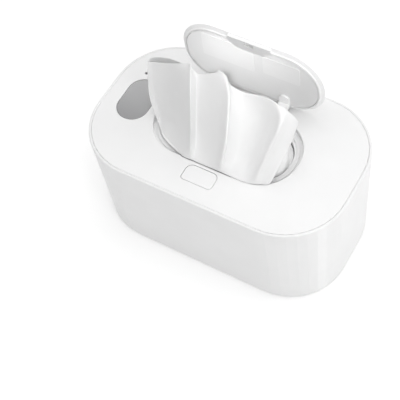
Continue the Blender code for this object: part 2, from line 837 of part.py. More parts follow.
# Heater
def heater_ring(name, outer_margin, inner_margin, top_z, thickness, window):
    """A flat ring round the opening, with its screw holes and, where asked, the sensor window."""
    outer = grown(body_plan, -heater_inset - outer_margin)
    inner = grown(opening_plan, collar_wall + gap + heater_reach + inner_margin)
    outlines = [plan_outline(outer, steps=2 * small_arc_steps),
                plan_outline(inner, steps=2 * small_arc_steps)]
    outlines += [circle_outline(place, screw_radius + gap, 12) for place in plate_boss_places()]
    if window:
        low, high = sensor_window(0)
        outlines.append([(low[0], low[1]), (high[0], low[1]), (high[0], high[1]), (low[0], high[1])])
    return flat_plate(name, outlines, top_z - thickness, top_z)


def make_heater():
    placed("insulation_pad", heater_ring("insulation_pad", 0, 0, insulation_top, insulation_thickness,
                                         True),
           finish("insulation_foam", (0.70, 0.70, 0.68), 0.9))
    placed("heating_film", heater_ring("heating_film", film_margin, film_margin, film_top,
                                       film_thickness, True),
           finish("heater_film", (0.62, 0.36, 0.12), 0.5))
    placed("heating_plate", heater_ring("heating_plate", 0, 0, plate_top, plate_thickness, False),
           finish("plate_aluminium", (0.78, 0.79, 0.80), 0.35, 1.0))
    sensor_at = (sensor_window_x, -sensor_spacing, plate_top + gap + sensor_radius)
    placed("temperature_sensor", rod_mesh("temperature_sensor", sensor_at, sensor_radius, sensor_length,
                                          "X", 12),
           finish("sensor_epoxy", (0.10, 0.10, 0.10), 0.4))
    fuse_at = (sensor_window_x, sensor_spacing, plate_top + gap + fuse_radius)
    placed("thermal_fuse", rod_mesh("thermal_fuse", fuse_at, fuse_radius, fuse_length, "X", 12),
           finish("fuse_case", (0.72, 0.66, 0.52), 0.3, 0.8))


# Electronics
def make_electronics():
    seat_plan = (display_width - 2 * gap, display_length - 2 * gap, display_width / 2 - 2 * gap)
    window_top = rim_z - window_recess
    rings = [(plan_outline(seat_plan, (display_x, 0)), window_top - window_thickness),
             (plan_outline(seat_plan, (display_x, 0)), window_top - edge_break),
             (plan_outline(grown(seat_plan, -edge_break), (display_x, 0)), window_top)]
    placed("display_window", loft("display_window", rings), finish("smoked_lens", (0.42, 0.42, 0.42), 0.2))
    module_plan = grown(seat_plan, -window_lip)
    module_top = panel_underside - gap
    placed("display_module", flat_plate("display_module",
                                        [plan_outline(module_plan, (display_x, 0), small_arc_steps)],
                                        board_top + gap, module_top),
           finish("module_black", (0.05, 0.05, 0.05), 0.5))
    half_x = board_width / 2
    half_y = board_length / 2
    outline = corner_outline(display_x - half_x, display_x + half_x, -half_y, half_y, [board_corner] * 4)
    holes = [circle_outline(place, screw_radius + gap, 12) for place in standoff_places()]
    placed("control_board", flat_plate("control_board", [outline] + holes, board_top - board_thickness,
                                       board_top),
           finish("board_green", (0.05, 0.25, 0.12), 0.5))
    make_board_components()
    make_socket()


def make_board_components():
    """A capacitor and the leads' connector, standing on the board in front of the display."""
    floor = board_top + gap
    front = -board_length / 2
    right = display_x + board_width / 2
    place = (display_x, front + 2 * capacitor_radius, floor + capacitor_height / 2)
    placed("board_capacitor", rod_mesh("board_capacitor", place, capacitor_radius, capacitor_height),
           finish("capacitor_sleeve", (0.10, 0.12, 0.20), 0.4))
    connector = box_mesh("wire_connector", (right - board_corner - connector_size, front + gap, floor),
                         (right - board_corner, front + gap + connector_size, floor + connector_size))
    placed("wire_connector", connector, finish("connector_nylon", (0.80, 0.79, 0.74), 0.5))


def make_socket():
    half = socket_size / 2
    top = panel_underside - gap
    low = board_top + gap
    block = box_mesh("power_socket", (socket_x - half, socket_y - half, low),
                     (socket_x + half, socket_y + half, top))
    socket = placed("power_socket", block, finish("socket_black", (0.03, 0.03, 0.03), 0.4))
    cut(socket, rod_mesh("socket_bore", (socket_x, socket_y, top - socket_hole_depth / 2 + overrun / 2),
                         socket_hole_radius, socket_hole_depth + overrun), "socket_bore")


def make_wires():
    """Two leads from the board, along the floor of the tray and down to the sensor and the fuse."""
    floor = cover_floor_z + gap + wire_radius
    window_edge = sensor_window_x + sensor_window_length / 2
    ends = [(sensor_length, -sensor_spacing, plate_top + gap + sensor_radius),
            (fuse_length, sensor_spacing, plate_top + gap + fuse_radius)]
    names = ["sensor_lead", "fuse_lead"]
    path = lead_path()
    sleeve = finish("wire_sleeve", (0.80, 0.80, 0.78), 0.5)
    for index, (length, y, z) in enumerate(ends):
        corners = [(x, y_lane, floor) for x, y_lane in offset_run(path, -index * wire_spacing)]
        tip_x = sensor_window_x + length / 2 + gap
        corners += [(window_edge + wire_spacing, y, floor), (window_edge - wire_radius, y, floor),
                    (mix(tip_x, window_edge, 0.5), y, mix(z, floor, 0.5)), (tip_x + wire_radius, y,
                                                                            z), (tip_x, y, z)]
        tube(names[index], smooth_run(corners), wire_radius, sleeve)


def lead_path():
    """The leads' run from the board, past the latch and between the bosses to the heater's window."""
    edge_x = display_x + board_width / 2
    edge_y = -board_length / 2
    places = [(edge_x + reach, edge_y - setback) for reach,
              setback in zip(lead_start_reach, lead_start_setback)]
    front_x = platform_width / 2 + lead_platform_clearance
    front_y = front_boss[1]
    places += [(-front_boss[0], front_y + lead_boss_clearance), (-front_x, front_y)]
    places += [(front_x, front_y), (front_boss[0], front_y + lead_boss_clearance)]
    places += [corner_place(inset, angle) for inset, angle in zip(lead_turn_insets, lead_turn_angles)]
    return places + [(body_length / 2 - lead_end_inset, lead_end_y)]


def offset_run(places, distance):
    """A run of places moved sideways by a distance."""
    moved = []
    for index, (x, y) in enumerate(places):
        before = Vector(places[max(index - 1, 0)])
        after = Vector(places[min(index + 1, len(places) - 1)])
        along = (after - before).normalized()
        moved.append((x - along.y * distance, y + along.x * distance))
    return moved


def smooth_run(corners, steps=3):
    """Points on a Catmull-Rom curve through a run's corners."""
    places = [Vector(corner) for corner in corners]
    places = [2 * places[0] - places[1]] + places + [2 * places[-1] - places[-2]]
    points = []
    for a, b, c, d in zip(places, places[1:], places[2:], places[3:]):
        for step in range(steps):
            t = step / steps
            points.append(0.5 * (2 * b + (c - a) * t + (2 * a - 5 * b + 4 * c - d) * t ** 2
                                 + (3 * b - a - 3 * c + d) * t ** 3))
    return points + [places[-2]]


# Lid
def make_lid(pivot):
    top = rim_z
    skirt_z = top - lid_skirt_depth
    skirt = grown(lid_plan, -lid_skirt_inset)
    inner = grown(skirt, -lid_skirt)
    rings = [(plan_outline(inner), top - lid_plate), (plan_outline(inner), skirt_z + edge_break),
             (plan_outline(grown(inner, edge_break)), skirt_z), (plan_outline(grown(skirt, -edge_break)),
                                                                 skirt_z),
             (plan_outline(skirt), skirt_z + edge_break), (plan_outline(skirt), top - lid_plate
                                                           - edge_break),
             (plan_outline(grown(lid_plan, -lid_undercut)), top - lid_plate), (plan_outline(lid_plan),
                                                                               top - lid_edge)]
    rings += rounded(lid_plan, 0, lid_edge_round, top - lid_edge_round, top, True)
    shell = placed("lid_shell", loft("lid_shell", rings), finish("lid_plastic", white_colour, 0.4))
    hang_on(shell, pivot)
    bulge = flat_plate("bulge", [bulge_outline(0)], skirt_z, top - lid_edge - edge_break)
    join(shell, bulge, "lid_bulge", pivot)
    half = hook_width / 2 + gap
    hook_front = hook_back - hook_thickness
    neck_front = hook_front - button_travel - gap
    lip_z = skirt_z + catch_lip_thickness
    neck = box_mesh("neck", (-half, neck_front, skirt_z - overrun), (half, hook_back + gap, lip_z + gap))
    chamber = box_mesh("chamber", (-half, neck_front, lip_z),
                       (half, hook_back + hook_barb + gap, top - catch_roof))
    cut(shell, neck, "catch_neck", pivot)
    cut(shell, chamber, "catch_chamber", pivot)
    notches = []
    for side in (-1, 1):
        x = side * arm_x
        reach = arm_width / 2 + gap
        notches.append(box_mesh("notch", (x - reach, inner[1] / 2 - overrun, skirt_z - overrun),
                                (x + reach, skirt[1] / 2 + overrun, top - lid_plate)))
    cut(shell, merged("arm_notches", notches), "arm_notches", pivot)
    make_liner(pivot, grown(inner, -gap))


def bulge_outline(distance):
    """The thick pad behind the lid's free edge that holds the catch, moved outwards by a distance."""
    edge = -lid_plan[1] / 2
    root = edge + bulge_front - distance
    shoulder = edge + lid_skirt_inset + lid_skirt
    tip = edge + bulge_depth + distance
    half = bulge_length / 2 + distance
    tip_half = bulge_tip_length / 2 + distance
    corner = bulge_corner
    return [(tip_half - corner, tip), (-tip_half + corner, tip), (-tip_half, tip - corner),
            (-half + corner, shoulder + corner), (-half, shoulder), (-half, root), (half, root), (half,
                                                                                                  shoulder),
            (half - corner, shoulder + corner), (tip_half, tip - corner)]


def make_liner(pivot, plan):
    """The inner liner, with the two gooseneck arms moulded on it."""
    top = rim_z - lid_plate - gap
    low = top - liner_thickness
    liner = placed("lid_liner", flat_plate("lid_liner", [plan_outline(plan)], low, top),
                   finish("liner_plastic", inner_colour, 0.5))
    hang_on(liner, pivot)
    cut(liner, flat_plate("bulge_room", [bulge_outline(gap)], low - overrun, top + overrun),
        "bulge_room", pivot)
    arms = [side_profile("arm", arm_outline(top), side * arm_x, arm_width) for side in (-1, 1)]
    join(liner, merged("gooseneck_arms", arms), "gooseneck_arms", pivot)
    half = arm_width / 2
    pad_tip = lid_plan[1] / 2 - arm_pad_length
    pad_root = hinge_y - arm_outer_radius + arm_thickness
    pads = [flat_plate("pad", [corner_outline(side * arm_x - half, side * arm_x + half, pad_tip, pad_root,
                                              [edge_break, edge_break, half - edge_break, half
                                               - edge_break])],
                       low - arm_pad_thickness, mix(low, top, 0.5)) for side in (-1, 1)]
    join(liner, merged("arm_pads", pads), "arm_pads", pivot)
    cut(liner, rod_mesh("arm_bore", (0, hinge_y, hinge_z), rod_radius + pin_gap, 4 * arm_x, "X"),
        "arm_bore", pivot)


def on_hinge(radius, angle):
    """A place (y, z) about the hinge."""
    return hinge_y + radius * math.cos(angle), hinge_z + radius * math.sin(angle)


def arm_outline(top):
    """A gooseneck with the lid closed: an arc about the hinge from the liner, then a spoke to a boss."""
    steps = small_arc_steps * 2
    lid_angle = math.pi - math.asin((top - hinge_z) / arm_outer_radius)
    half = arm_spoke_width / 2
    inner_turn = math.asin(half / arm_inner_radius)
    boss_turn = math.asin(half / arm_boss_radius)
    spoke = arm_spoke_angle
    points = [on_hinge(arm_outer_radius, mix(lid_angle, spoke, step / steps)) for step in range(steps + 1)]
    for step in range(steps * 2 + 1):
        points.append(on_hinge(arm_boss_radius, spoke + boss_turn
                               + step / (steps * 2) * 2 * (math.pi - boss_turn)))
    points += [on_hinge(arm_inner_radius, mix(spoke - 2 * inner_turn, lid_angle, step / steps))
               for step in range(steps + 1)]
    return points


def make_hinge():
    steel = finish("hinge_steel", (0.66, 0.66, 0.67), 0.3, 1.0)
    start_x = ear_places()[-1] + ear_thickness + coil_pitch
    rod_left = ear_places()[0] - ear_thickness
    rod_right = start_x + (coil_turns + 1) * coil_pitch
    rod = rod_mesh("hinge_rod", (mix(rod_left, rod_right, 0.5), hinge_y, hinge_z), rod_radius,
                   rod_right - rod_left, "X", 16)
    placed("hinge_rod", rod, steel)
    steps = coil_turns * coil_steps
    coil = []
    for step in range(steps + 1):
        angle = math.pi / 2 + step / coil_steps * 2 * math.pi
        y, z = on_hinge(coil_radius, angle)
        coil.append((start_x + step / coil_steps * coil_pitch, y, z))
    first = coil[0]
    last = coil[-1]
    coil.insert(0, (first[0], first[1] + coil_leg, first[2]))
    coil.append((last[0], last[1] + coil_leg, last[2]))
    tube("lid_spring", coil, coil_wire, steel)


def make_opening_seals():
    """Soft strips on the ledge that the lid's skirt meets, parted at the hook and between the arms."""
    mid = grown(lid_plan, -lid_skirt_inset - lid_skirt / 2)
    outlines = [plan_outline(grown(mid, opening_seal_width / 2)),
                plan_outline(grown(mid, -opening_seal_width / 2))]
    low = rim_z - recess_depth + gap
    high = low + opening_seal_height
    silicone = finish("opening_seal_silicone", (0.82, 0.82, 0.82), 0.7)
    back_half = arm_x + arm_width / 2 + arm_side_gap
    front_half = hook_width / 2 + gap
    for name, side in (("opening_seal_left", -1), ("opening_seal_right", 1)):
        seal = placed(name, flat_plate(name, outlines, low, high), silicone)
        breaks = []
        for half, start_y, end_y in ((back_half, 0, recess_width / 2), (front_half, -recess_width / 2, 0)):
            inner_x = side * half
            outer_x = -side * recess_length / 2
            breaks.append(box_mesh("break", (min(inner_x, outer_x), start_y, low - overrun),
                                   (max(inner_x, outer_x), end_y, high + overrun)))
        cut(seal, breaks[0], name + "_back_break")
        cut(seal, breaks[1], name + "_front_break")


# Release button and latch
def make_button(pivot):
    cap_bottom = panel_underside - gap - button_flange_thickness
    flange_top = panel_underside - gap
    plain = button_outline(0)
    wide = button_outline(button_flange)
    rings = [(wide, cap_bottom), (wide, flange_top), (plain, flange_top), (plain, rim_z - edge_break),
             (button_outline(-edge_break), rim_z)]
    button = placed("release_button", loft("release_button", rings),
                    finish("button_plastic", white_colour, 0.4))
    hang_on(button, pivot)
    blades = [side_profile("blade", blade_outline(0), side * blade_x, blade_width) for side in (-1, 1)]
    join(button, merged("button_blades", blades), "button_blades", pivot)


def blade_outline(distance):
    """A leg that slants back at 45 degrees as it goes down, widened by a distance."""
    half = blade_thickness / 2 + distance
    top = blade_top_z
    drop = blade_length
    return [(blade_top_y + half, top), (blade_top_y - half, top), (blade_top_y + drop - half, top - drop),
            (blade_top_y + drop + half, top - drop)]


def make_slider(pivot):
    half = slider_width / 2
    spring_y = button_y
    room = button_coil_radius + button_coil_wire + 2 * gap
    tongue = hook_width / 2
    outline = [(half, slider_back), (tongue, slider_back), (tongue, hook_back), (-tongue, hook_back),
               (-tongue, slider_back), (-half, slider_back), (-half, slider_front), (half, slider_front)]
    hole = corner_outline(-room, room, spring_y - room, spring_y + room + button_travel, [room / 2] * 4)
    slider = placed("latch_slider", flat_plate("latch_slider", [outline, hole], slider_bottom, slider_top),
                    finish("latch_plastic", (0.80, 0.80, 0.79), 0.45))
    hang_on(slider, pivot)
    hook_top = rim_z - hook_top_depth
    hook_front = hook_back - hook_thickness
    barb_back = hook_back + hook_barb
    profile = [(hook_back, hook_top - hook_barb_height), (barb_back, hook_top - hook_barb_height),
               (mix(hook_front, barb_back, 0.4), hook_top), (hook_front, hook_top), (hook_front,
                                                                                     slider_bottom),
               (hook_back, slider_bottom)]
    join(slider, side_profile("hook", profile, 0, hook_width), "latch_hook", pivot)
    windows = [side_profile("window", blade_outline(2 * gap), side * blade_x, blade_width + 2 * gap)
               for side in (-1, 1)]
    cut(slider, merged("blade_windows", windows), "blade_windows", pivot)


def make_button_spring():
    spring_y = button_y
    low = slider_bottom - gap + button_coil_wire + gap
    high = panel_underside - gap - button_flange_thickness - button_coil_wire - gap
    steps = button_coil_turns * coil_steps
    coil = []
    for step in range(steps + 1):
        angle = step / coil_steps * 2 * math.pi
        coil.append((button_coil_radius * math.cos(angle), spring_y + button_coil_radius * math.sin(angle),
                     mix(low, high, step / steps)))
    steel = finish("spring_steel", (0.60, 0.60, 0.62), 0.3, 1.0)
    tube("button_spring", coil, button_coil_wire, steel)


# Wipes
def make_stack():
    """The pile of folded wipes, with soft sides that bow out and a broken fold line along each layer."""
    plan = (stack_length, stack_width, stack_radius)
    low = floor_z + stack_gap
    rings = [(plan_outline(grown(plan, -stack_bulge), steps=small_arc_steps), low)]
    for layer in range(stack_folds):
        for pinch, share in ((stack_bulge / 3, 0.1), (0, 0.5), (stack_bulge / 3, 0.9)):
            height = low + (layer + share) / stack_folds * stack_height
            bow = math.sin((layer + share) / stack_folds * math.pi) * stack_bulge / 2
            outline = plan_outline(grown(plan, bow - pinch - stack_bulge / 2), steps=small_arc_steps)
            rings.append((outline, height))
    rings.append((plan_outline(grown(plan, -2 * stack_bulge), steps=small_arc_steps), low + stack_height))
    placed("wipe_stack", loft("wipe_stack", rings), finish("stack_cloth", wipe_colour, 0.9))


def spline_at(values, position):
    """A Catmull-Rom curve through evenly spaced places."""
    index = min(int(position), len(values) - 2)
    t = position - index
    a = Vector(values[max(index - 1, 0)])
    b = Vector(values[index])
    c = Vector(values[index + 1])
    d = Vector(values[min(index + 2, len(values) - 1)])
    square = 2 * a - 5 * b + 4 * c - d
    cube = 3 * b - a - 3 * c + d
    return 0.5 * (2 * b + (c - a) * t + square * t ** 2 + cube * t ** 3)


def make_drawn_wipe():
    """The wipe that stands out of the opening, skinned over its fold lines and given a thickness."""
    columns = (len(fold_lines[0]) - 1) * 5
    rows = (len(fold_lines) - 1) * 2
    bm = bmesh.new()
    grid = []
    for row in range(rows + 1):
        line = []
        for column in range(columns + 1):
            position = column / 5
            level = [spline_at(fold_line, position) for fold_line in fold_lines]
            place = spline_at(level, row / 2)
            line.append(bm.verts.new((place.x, place.y, rim_z + place.z)))
        grid.append(line)
    for low_line, high_line in zip(grid, grid[1:]):
        for i in range(columns):
            bm.faces.new((low_line[i], low_line[i + 1], high_line[i + 1], high_line[i]))
    mesh = bpy.data.meshes.new("drawn_wipe")
    bm.to_mesh(mesh)
    bm.free()
    mesh.shade_smooth()
    wipe = placed("drawn_wipe", mesh, finish("wipe_cloth", wipe_colour, 0.95))
    solid = wipe.modifiers.new("thickness", "SOLIDIFY")
    solid.thickness = wipe_thickness
    solid.offset = 0.0


# Assembly
lid_pivot = pivot_at("lid_pivot", (0, hinge_y, hinge_z))
button_pivot = pivot_at("button_pivot", (0, button_y, rim_z))
latch_pivot = pivot_at("latch_pivot", (0, hook_back, slider_top))
make_tub()
make_feet()
make_cover_panel()
make_cover_base()
make_cover_seal()
make_screws()
make_heater()
make_electronics()
make_wires()
make_lid(lid_pivot)
make_hinge()
make_opening_seals()
make_button(button_pivot)
make_slider(latch_pivot)
make_button_spring()
make_stack()
make_drawn_wipe()
lid_pivot.rotation_euler.x = -open_angle
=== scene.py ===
# Baby wipe warmer, dressed: moulded finishes, the drawn wipe, the pile of wipes, the bare plates on the lid
# and the studio
import math

import bpy
import bmesh
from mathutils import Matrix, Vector, noise


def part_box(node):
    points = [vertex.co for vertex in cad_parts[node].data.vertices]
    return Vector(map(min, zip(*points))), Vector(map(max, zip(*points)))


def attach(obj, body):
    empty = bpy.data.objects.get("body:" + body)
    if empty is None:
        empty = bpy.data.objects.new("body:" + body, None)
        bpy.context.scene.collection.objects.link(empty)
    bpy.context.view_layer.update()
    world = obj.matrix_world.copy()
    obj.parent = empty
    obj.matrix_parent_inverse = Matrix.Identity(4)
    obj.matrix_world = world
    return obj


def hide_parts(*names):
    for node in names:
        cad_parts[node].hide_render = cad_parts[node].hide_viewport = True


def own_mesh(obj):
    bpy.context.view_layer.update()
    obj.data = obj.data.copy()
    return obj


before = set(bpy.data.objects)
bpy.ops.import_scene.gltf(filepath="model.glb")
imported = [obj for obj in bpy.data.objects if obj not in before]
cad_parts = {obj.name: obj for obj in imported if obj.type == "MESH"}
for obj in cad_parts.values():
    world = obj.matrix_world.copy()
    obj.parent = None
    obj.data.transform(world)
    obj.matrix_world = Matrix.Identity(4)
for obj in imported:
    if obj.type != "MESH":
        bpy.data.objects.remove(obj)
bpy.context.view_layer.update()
print("frame loaded")

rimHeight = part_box("cover_panel")[1][2]
mergeDistance = 1e-6         # vertices this close are one


# Helpers that every finish uses

def newMaterial(name):
    mat = bpy.data.materials.new(name)
    mat.use_nodes = True
    tree = mat.node_tree
    shader = tree.nodes["Principled BSDF"]
    return mat, tree, shader


def addNode(tree, kind, **settings):
    node = tree.nodes.new(kind)
    for key, value in settings.items():
        if key in node.inputs:
            node.inputs[key].default_value = value
        else:
            setattr(node, key, value)
    return node


def objectCoords(tree):
    # the piece's own coordinates, in metres
    return tree.nodes.new("ShaderNodeTexCoord").outputs["Object"]


def depthOf(tree, coords):
    # how far back a point lies
    parts = addNode(tree, "ShaderNodeSeparateXYZ")
    tree.links.new(coords, parts.inputs["Vector"])
    return parts.outputs["Y"]


def noiseMap(tree, coords, scale, detail=3.0, roughness=0.5, stretch=(1, 1, 1)):
    mapping = addNode(tree, "ShaderNodeMapping")
    mapping.inputs["Scale"].default_value = stretch
    tree.links.new(coords, mapping.inputs["Vector"])
    tex = addNode(tree, "ShaderNodeTexNoise", Scale=scale, Detail=detail, Roughness=roughness)
    tree.links.new(mapping.outputs["Vector"], tex.inputs["Vector"])
    return tex.outputs["Fac"]


def rampBetween(tree, factor, low, high, start=0.3, stop=0.7):
    ramp = tree.nodes.new("ShaderNodeValToRGB")
    ramp.color_ramp.elements[0].position = start
    ramp.color_ramp.elements[0].color = (*low, 1)
    ramp.color_ramp.elements[1].position = stop
    ramp.color_ramp.elements[1].color = (*high, 1)
    tree.links.new(factor, ramp.inputs["Fac"])
    return ramp.outputs["Color"]


def rangeOf(tree, factor, to, source=(0, 1)):
    # a factor that runs over the source range, turned into a value that runs over the other
    node = addNode(tree, "ShaderNodeMapRange")
    node.inputs["From Min"].default_value, node.inputs["From Max"].default_value = source
    node.inputs["To Min"].default_value, node.inputs["To Max"].default_value = to
    tree.links.new(factor, node.inputs["Value"])
    return node.outputs["Result"]


def roughAround(tree, factor, rough, spread):
    return rangeOf(tree, factor, (rough + spread[0], rough + spread[1]))


def bumpFrom(tree, heights, strength, distance, before=None):
    bump = tree.nodes.new("ShaderNodeBump")
    bump.inputs["Strength"].default_value = strength
    bump.inputs["Distance"].default_value = distance
    tree.links.new(heights, bump.inputs["Height"])
    if before is not None:
        tree.links.new(before, bump.inputs["Normal"])
    return bump.outputs["Normal"]


plasticSurface = {
    "cloudScale": 38,
    "roughSpread": (-0.04, 0.05),
    "grainScale": 2600,
    "grainDepth": 0.00004,
    "waveScale": 22,
    "waveStrength": 0.06,
    "waveDepth": 0.0012,
    "refraction": 1.5,
    "coatRough": 0.25,
}


def mouldedPlastic(name, colour, rough=0.4, grain=0.25, shade=0.025, coat=0.0):
    # injection-moulded plastic: faint cloudiness, a fine spark-eroded grain and slow waviness of the wall
    surface = plasticSurface
    mat, tree, shader = newMaterial(name)
    coords = objectCoords(tree)
    cloud = noiseMap(tree, coords, surface["cloudScale"], 2)
    darker = tuple(channel * (1 - shade) for channel in colour)
    tree.links.new(rampBetween(tree, cloud, darker, colour), shader.inputs["Base Color"])
    fine = noiseMap(tree, coords, surface["grainScale"], 2, 0.6)
    tree.links.new(roughAround(tree, fine, rough, surface["roughSpread"]), shader.inputs["Roughness"])
    slow = noiseMap(tree, coords, surface["waveScale"], 1)
    wave = bumpFrom(tree, slow, surface["waveStrength"], surface["waveDepth"])
    tree.links.new(bumpFrom(tree, fine, grain, surface["grainDepth"], wave), shader.inputs["Normal"])
    shader.inputs["IOR"].default_value = surface["refraction"]
    shader.inputs["Coat Weight"].default_value = coat
    shader.inputs["Coat Roughness"].default_value = surface["coatRough"]
    return mat


metalSurface = {
    "lineScale": 90,
    "darker": 0.86,
    "roughSpread": (-0.08, 0.1),
    "bump": 0.15,
    "bumpDepth": 0.00005,
}


def brushedMetal(name, colour, rough=0.3, along=(1, 30, 30)):
    surface = metalSurface
    mat, tree, shader = newMaterial(name)
    lines = noiseMap(tree, objectCoords(tree), surface["lineScale"], 3, 0.6, along)
    darker = tuple(channel * surface["darker"] for channel in colour)
    tree.links.new(rampBetween(tree, lines, darker, colour), shader.inputs["Base Color"])
    tree.links.new(roughAround(tree, lines, rough, surface["roughSpread"]), shader.inputs["Roughness"])
    tree.links.new(bumpFrom(tree, lines, surface["bump"], surface["bumpDepth"]), shader.inputs["Normal"])
    shader.inputs["Metallic"].default_value = 1.0
    return mat


def dress(material, *nodes):
    # give CAD nodes their finish
    for name in nodes:
        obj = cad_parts[name]
        obj.data.materials.clear()
        obj.data.materials.append(material)


def addObject(name, data):
    obj = bpy.data.objects.new(name, data)
    bpy.context.scene.collection.objects.link(obj)
    return obj


def meshFrom(bm, name):
    # a closed form as an object, its faces turned outwards
    bm.normal_update()
    bmesh.ops.recalc_face_normals(bm, faces=bm.faces)
    mesh = bpy.data.meshes.new(name)
    bm.to_mesh(mesh)
    bm.free()
    return addObject(name, mesh)


def finalMesh(obj):
    # the object's mesh with its modifiers applied
    bpy.context.view_layer.update()
    return bpy.data.meshes.new_from_object(obj.evaluated_get(bpy.context.evaluated_depsgraph_get()))


def settle(obj):
    # modifiers into the mesh, so that the piece is plain before it is placed on its body
    mesh = finalMesh(obj)
    obj.modifiers.clear()
    obj.data = mesh


def roundedCorners(halfX, halfY, radius, steps):
    # outline of a box with round corners, round its middle
    points = []
    for quarter, (sx, sy) in enumerate(((1, 1), (-1, 1), (-1, -1), (1, -1))):
        for step in range(steps + 1):
            angle = (quarter + step / steps) * math.pi / 2
            points.append((sx * (halfX - radius) + radius * math.cos(angle),
                           sy * (halfY - radius) + radius * math.sin(angle)))
    return points


# Shells, each with its own plastic

shellFinish = {
    "tub": dict(colour=(0.90, 0.90, 0.90), rough=0.36, grain=0.18, coat=0.15),
    "cover": dict(colour=(0.92, 0.92, 0.92), rough=0.42, grain=0.3),
    "lid": dict(colour=(0.92, 0.92, 0.92), rough=0.34, grain=0.15, coat=0.15),
    # painted shade: the liner is the lid's white plastic, painted grey
    "liner": dict(colour=(0.80, 0.80, 0.80), rough=0.5, grain=0.35),
    "button": dict(colour=(0.92, 0.92, 0.92), rough=0.42, grain=0.3),
    "inner": dict(colour=(0.88, 0.88, 0.87), rough=0.55, grain=0.4),
    # painted highlight: the seam's lip is paler than the tub and the cover
    "lip": dict(colour=(0.95, 0.95, 0.95), rough=0.5, grain=0.1),
}
shellPlastic = {piece: mouldedPlastic(piece + "Plastic", **finish) for piece, finish in shellFinish.items()}
dress(shellPlastic["tub"], "tub")
dress(shellPlastic["cover"], "cover_panel")
dress(shellPlastic["lid"], "lid_shell")
dress(shellPlastic["liner"], "lid_liner")
dress(shellPlastic["button"], "release_button")
dress(shellPlastic["inner"], "cover_base", "latch_slider", "wire_connector")

linerArms = {
    "colour": shellFinish["lid"]["colour"],
    "inFront": 0.0405,       # the liner's panel lies behind this depth, its arms in front of it
}


def whitenArms(mat, settings):
    # painted shade: the liner's panel is painted grey for the shade it sits in; its hinge arms stand in front
    # of it and keep the white of the lid's shell
    tree = mat.node_tree
    shader = tree.nodes["Principled BSDF"]
    isArm = addNode(tree, "ShaderNodeMath", operation="LESS_THAN")
    isArm.inputs[1].default_value = settings["inFront"]
    tree.links.new(depthOf(tree, objectCoords(tree)), isArm.inputs[0])
    mix = addNode(tree, "ShaderNodeMix", data_type="RGBA")
    tree.links.new(isArm.outputs["Value"], mix.inputs["Factor"])
    tree.links.new(shader.inputs["Base Color"].links[0].from_socket, mix.inputs["A"])
    mix.inputs["B"].default_value = (*settings["colour"], 1)
    tree.links.new(mix.outputs["Result"], shader.inputs["Base Color"])


whitenArms(shellPlastic["liner"], linerArms)
print("shells finished")


# Inner pieces

innerPlastic = {
    "sealSilicone": dict(colour=(0.86, 0.86, 0.86), rough=0.6, grain=0.1),
    "footRubber": dict(colour=(0.62, 0.62, 0.61), rough=0.75, grain=0.6, shade=0.06),
    "leadSleeve": dict(colour=(0.78, 0.78, 0.76), rough=0.45, grain=0.1),
    "blackHousing": dict(colour=(0.03, 0.03, 0.03), rough=0.45, grain=0.4, shade=0.2),
    "sensorEpoxy": dict(colour=(0.05, 0.05, 0.05), rough=0.3, grain=0.1, shade=0.2),
    "capacitorSleeve": dict(colour=(0.05, 0.06, 0.14), rough=0.35, grain=0.1, shade=0.2),
    "boardMask": dict(colour=(0.03, 0.20, 0.09), rough=0.4, grain=0.3, shade=0.3),
    "padFoam": dict(colour=(0.62, 0.62, 0.60), rough=0.9, grain=1.0, shade=0.15),
    "filmAmber": dict(colour=(0.55, 0.28, 0.06), rough=0.35, grain=0.1, shade=0.1),
}
innerMetal = {
    "plateAluminium": dict(colour=(0.78, 0.79, 0.80), rough=0.35),
    "fuseCan": dict(colour=(0.70, 0.64, 0.50), rough=0.3),
    "drawnSteel": dict(colour=(0.62, 0.62, 0.63), rough=0.28, along=(30, 1, 1)),
    "zincPlate": dict(colour=(0.66, 0.67, 0.68), rough=0.35, along=(4, 4, 4)),
}
madeOf = {
    "sealSilicone": ["cover_seal", "opening_seal_left", "opening_seal_right"],
    "footRubber": ["foot_front_left", "foot_back_left", "foot_front_right", "foot_back_right"],
    "leadSleeve": ["sensor_lead", "fuse_lead"],
    "blackHousing": ["display_module", "power_socket"],
    "sensorEpoxy": ["temperature_sensor"],
    "capacitorSleeve": ["board_capacitor"],
    "boardMask": ["control_board"],
    "padFoam": ["insulation_pad"],
    "filmAmber": ["heating_film"],
    "plateAluminium": ["heating_plate"],
    "fuseCan": ["thermal_fuse"],
    "drawnSteel": ["hinge_rod", "lid_spring"],
    "zincPlate": [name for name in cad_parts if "_screw_" in name],
}
innerMaterial = {name: mouldedPlastic(name, **finish) for name, finish in innerPlastic.items()}
innerMaterial.update({name: brushedMetal(name, **finish) for name, finish in innerMetal.items()})
for name, nodes in madeOf.items():
    dress(innerMaterial[name], *nodes)
print("inner pieces finished")


# The button's coil, copied from the CAD and set on the cover


def makeButtonCoil():
    # a copy of the CAD coil, its loose triangles merged
    bm = bmesh.new()
    bm.from_mesh(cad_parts["button_spring"].data)
    bmesh.ops.remove_doubles(bm, verts=bm.verts, dist=mergeDistance)
    coil = meshFrom(bm, "buttonCoil")
    coil.data.shade_smooth()
    coil.data.materials.append(innerMaterial["drawnSteel"])
    return coil


coil = makeButtonCoil()
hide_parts("button_spring")
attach(coil, "cover")
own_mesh(coil)
print("button coil made")


# The lip in the seam around the cover, paler than the shells: a painted highlight along the seam

seamLip = {
    "endFlat": 0.0289,       # straight part of the outline's short sides
    "inner": 0.00010,        # the lip's inner and outer edge, measured from the cover's edge
    "outer": 0.00032,
    "below": 0.0003,         # the lip's top lies this far below the rim
    "depth": 0.0012,
    "steps": 24,             # to a quarter turn of the outline
}


def seamOutline(grow, settings):
    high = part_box("cover_panel")[1]
    halfX, halfY = high[0] + grow, high[1] + grow
    return roundedCorners(halfX, halfY, halfY - settings["endFlat"] / 2, settings["steps"])


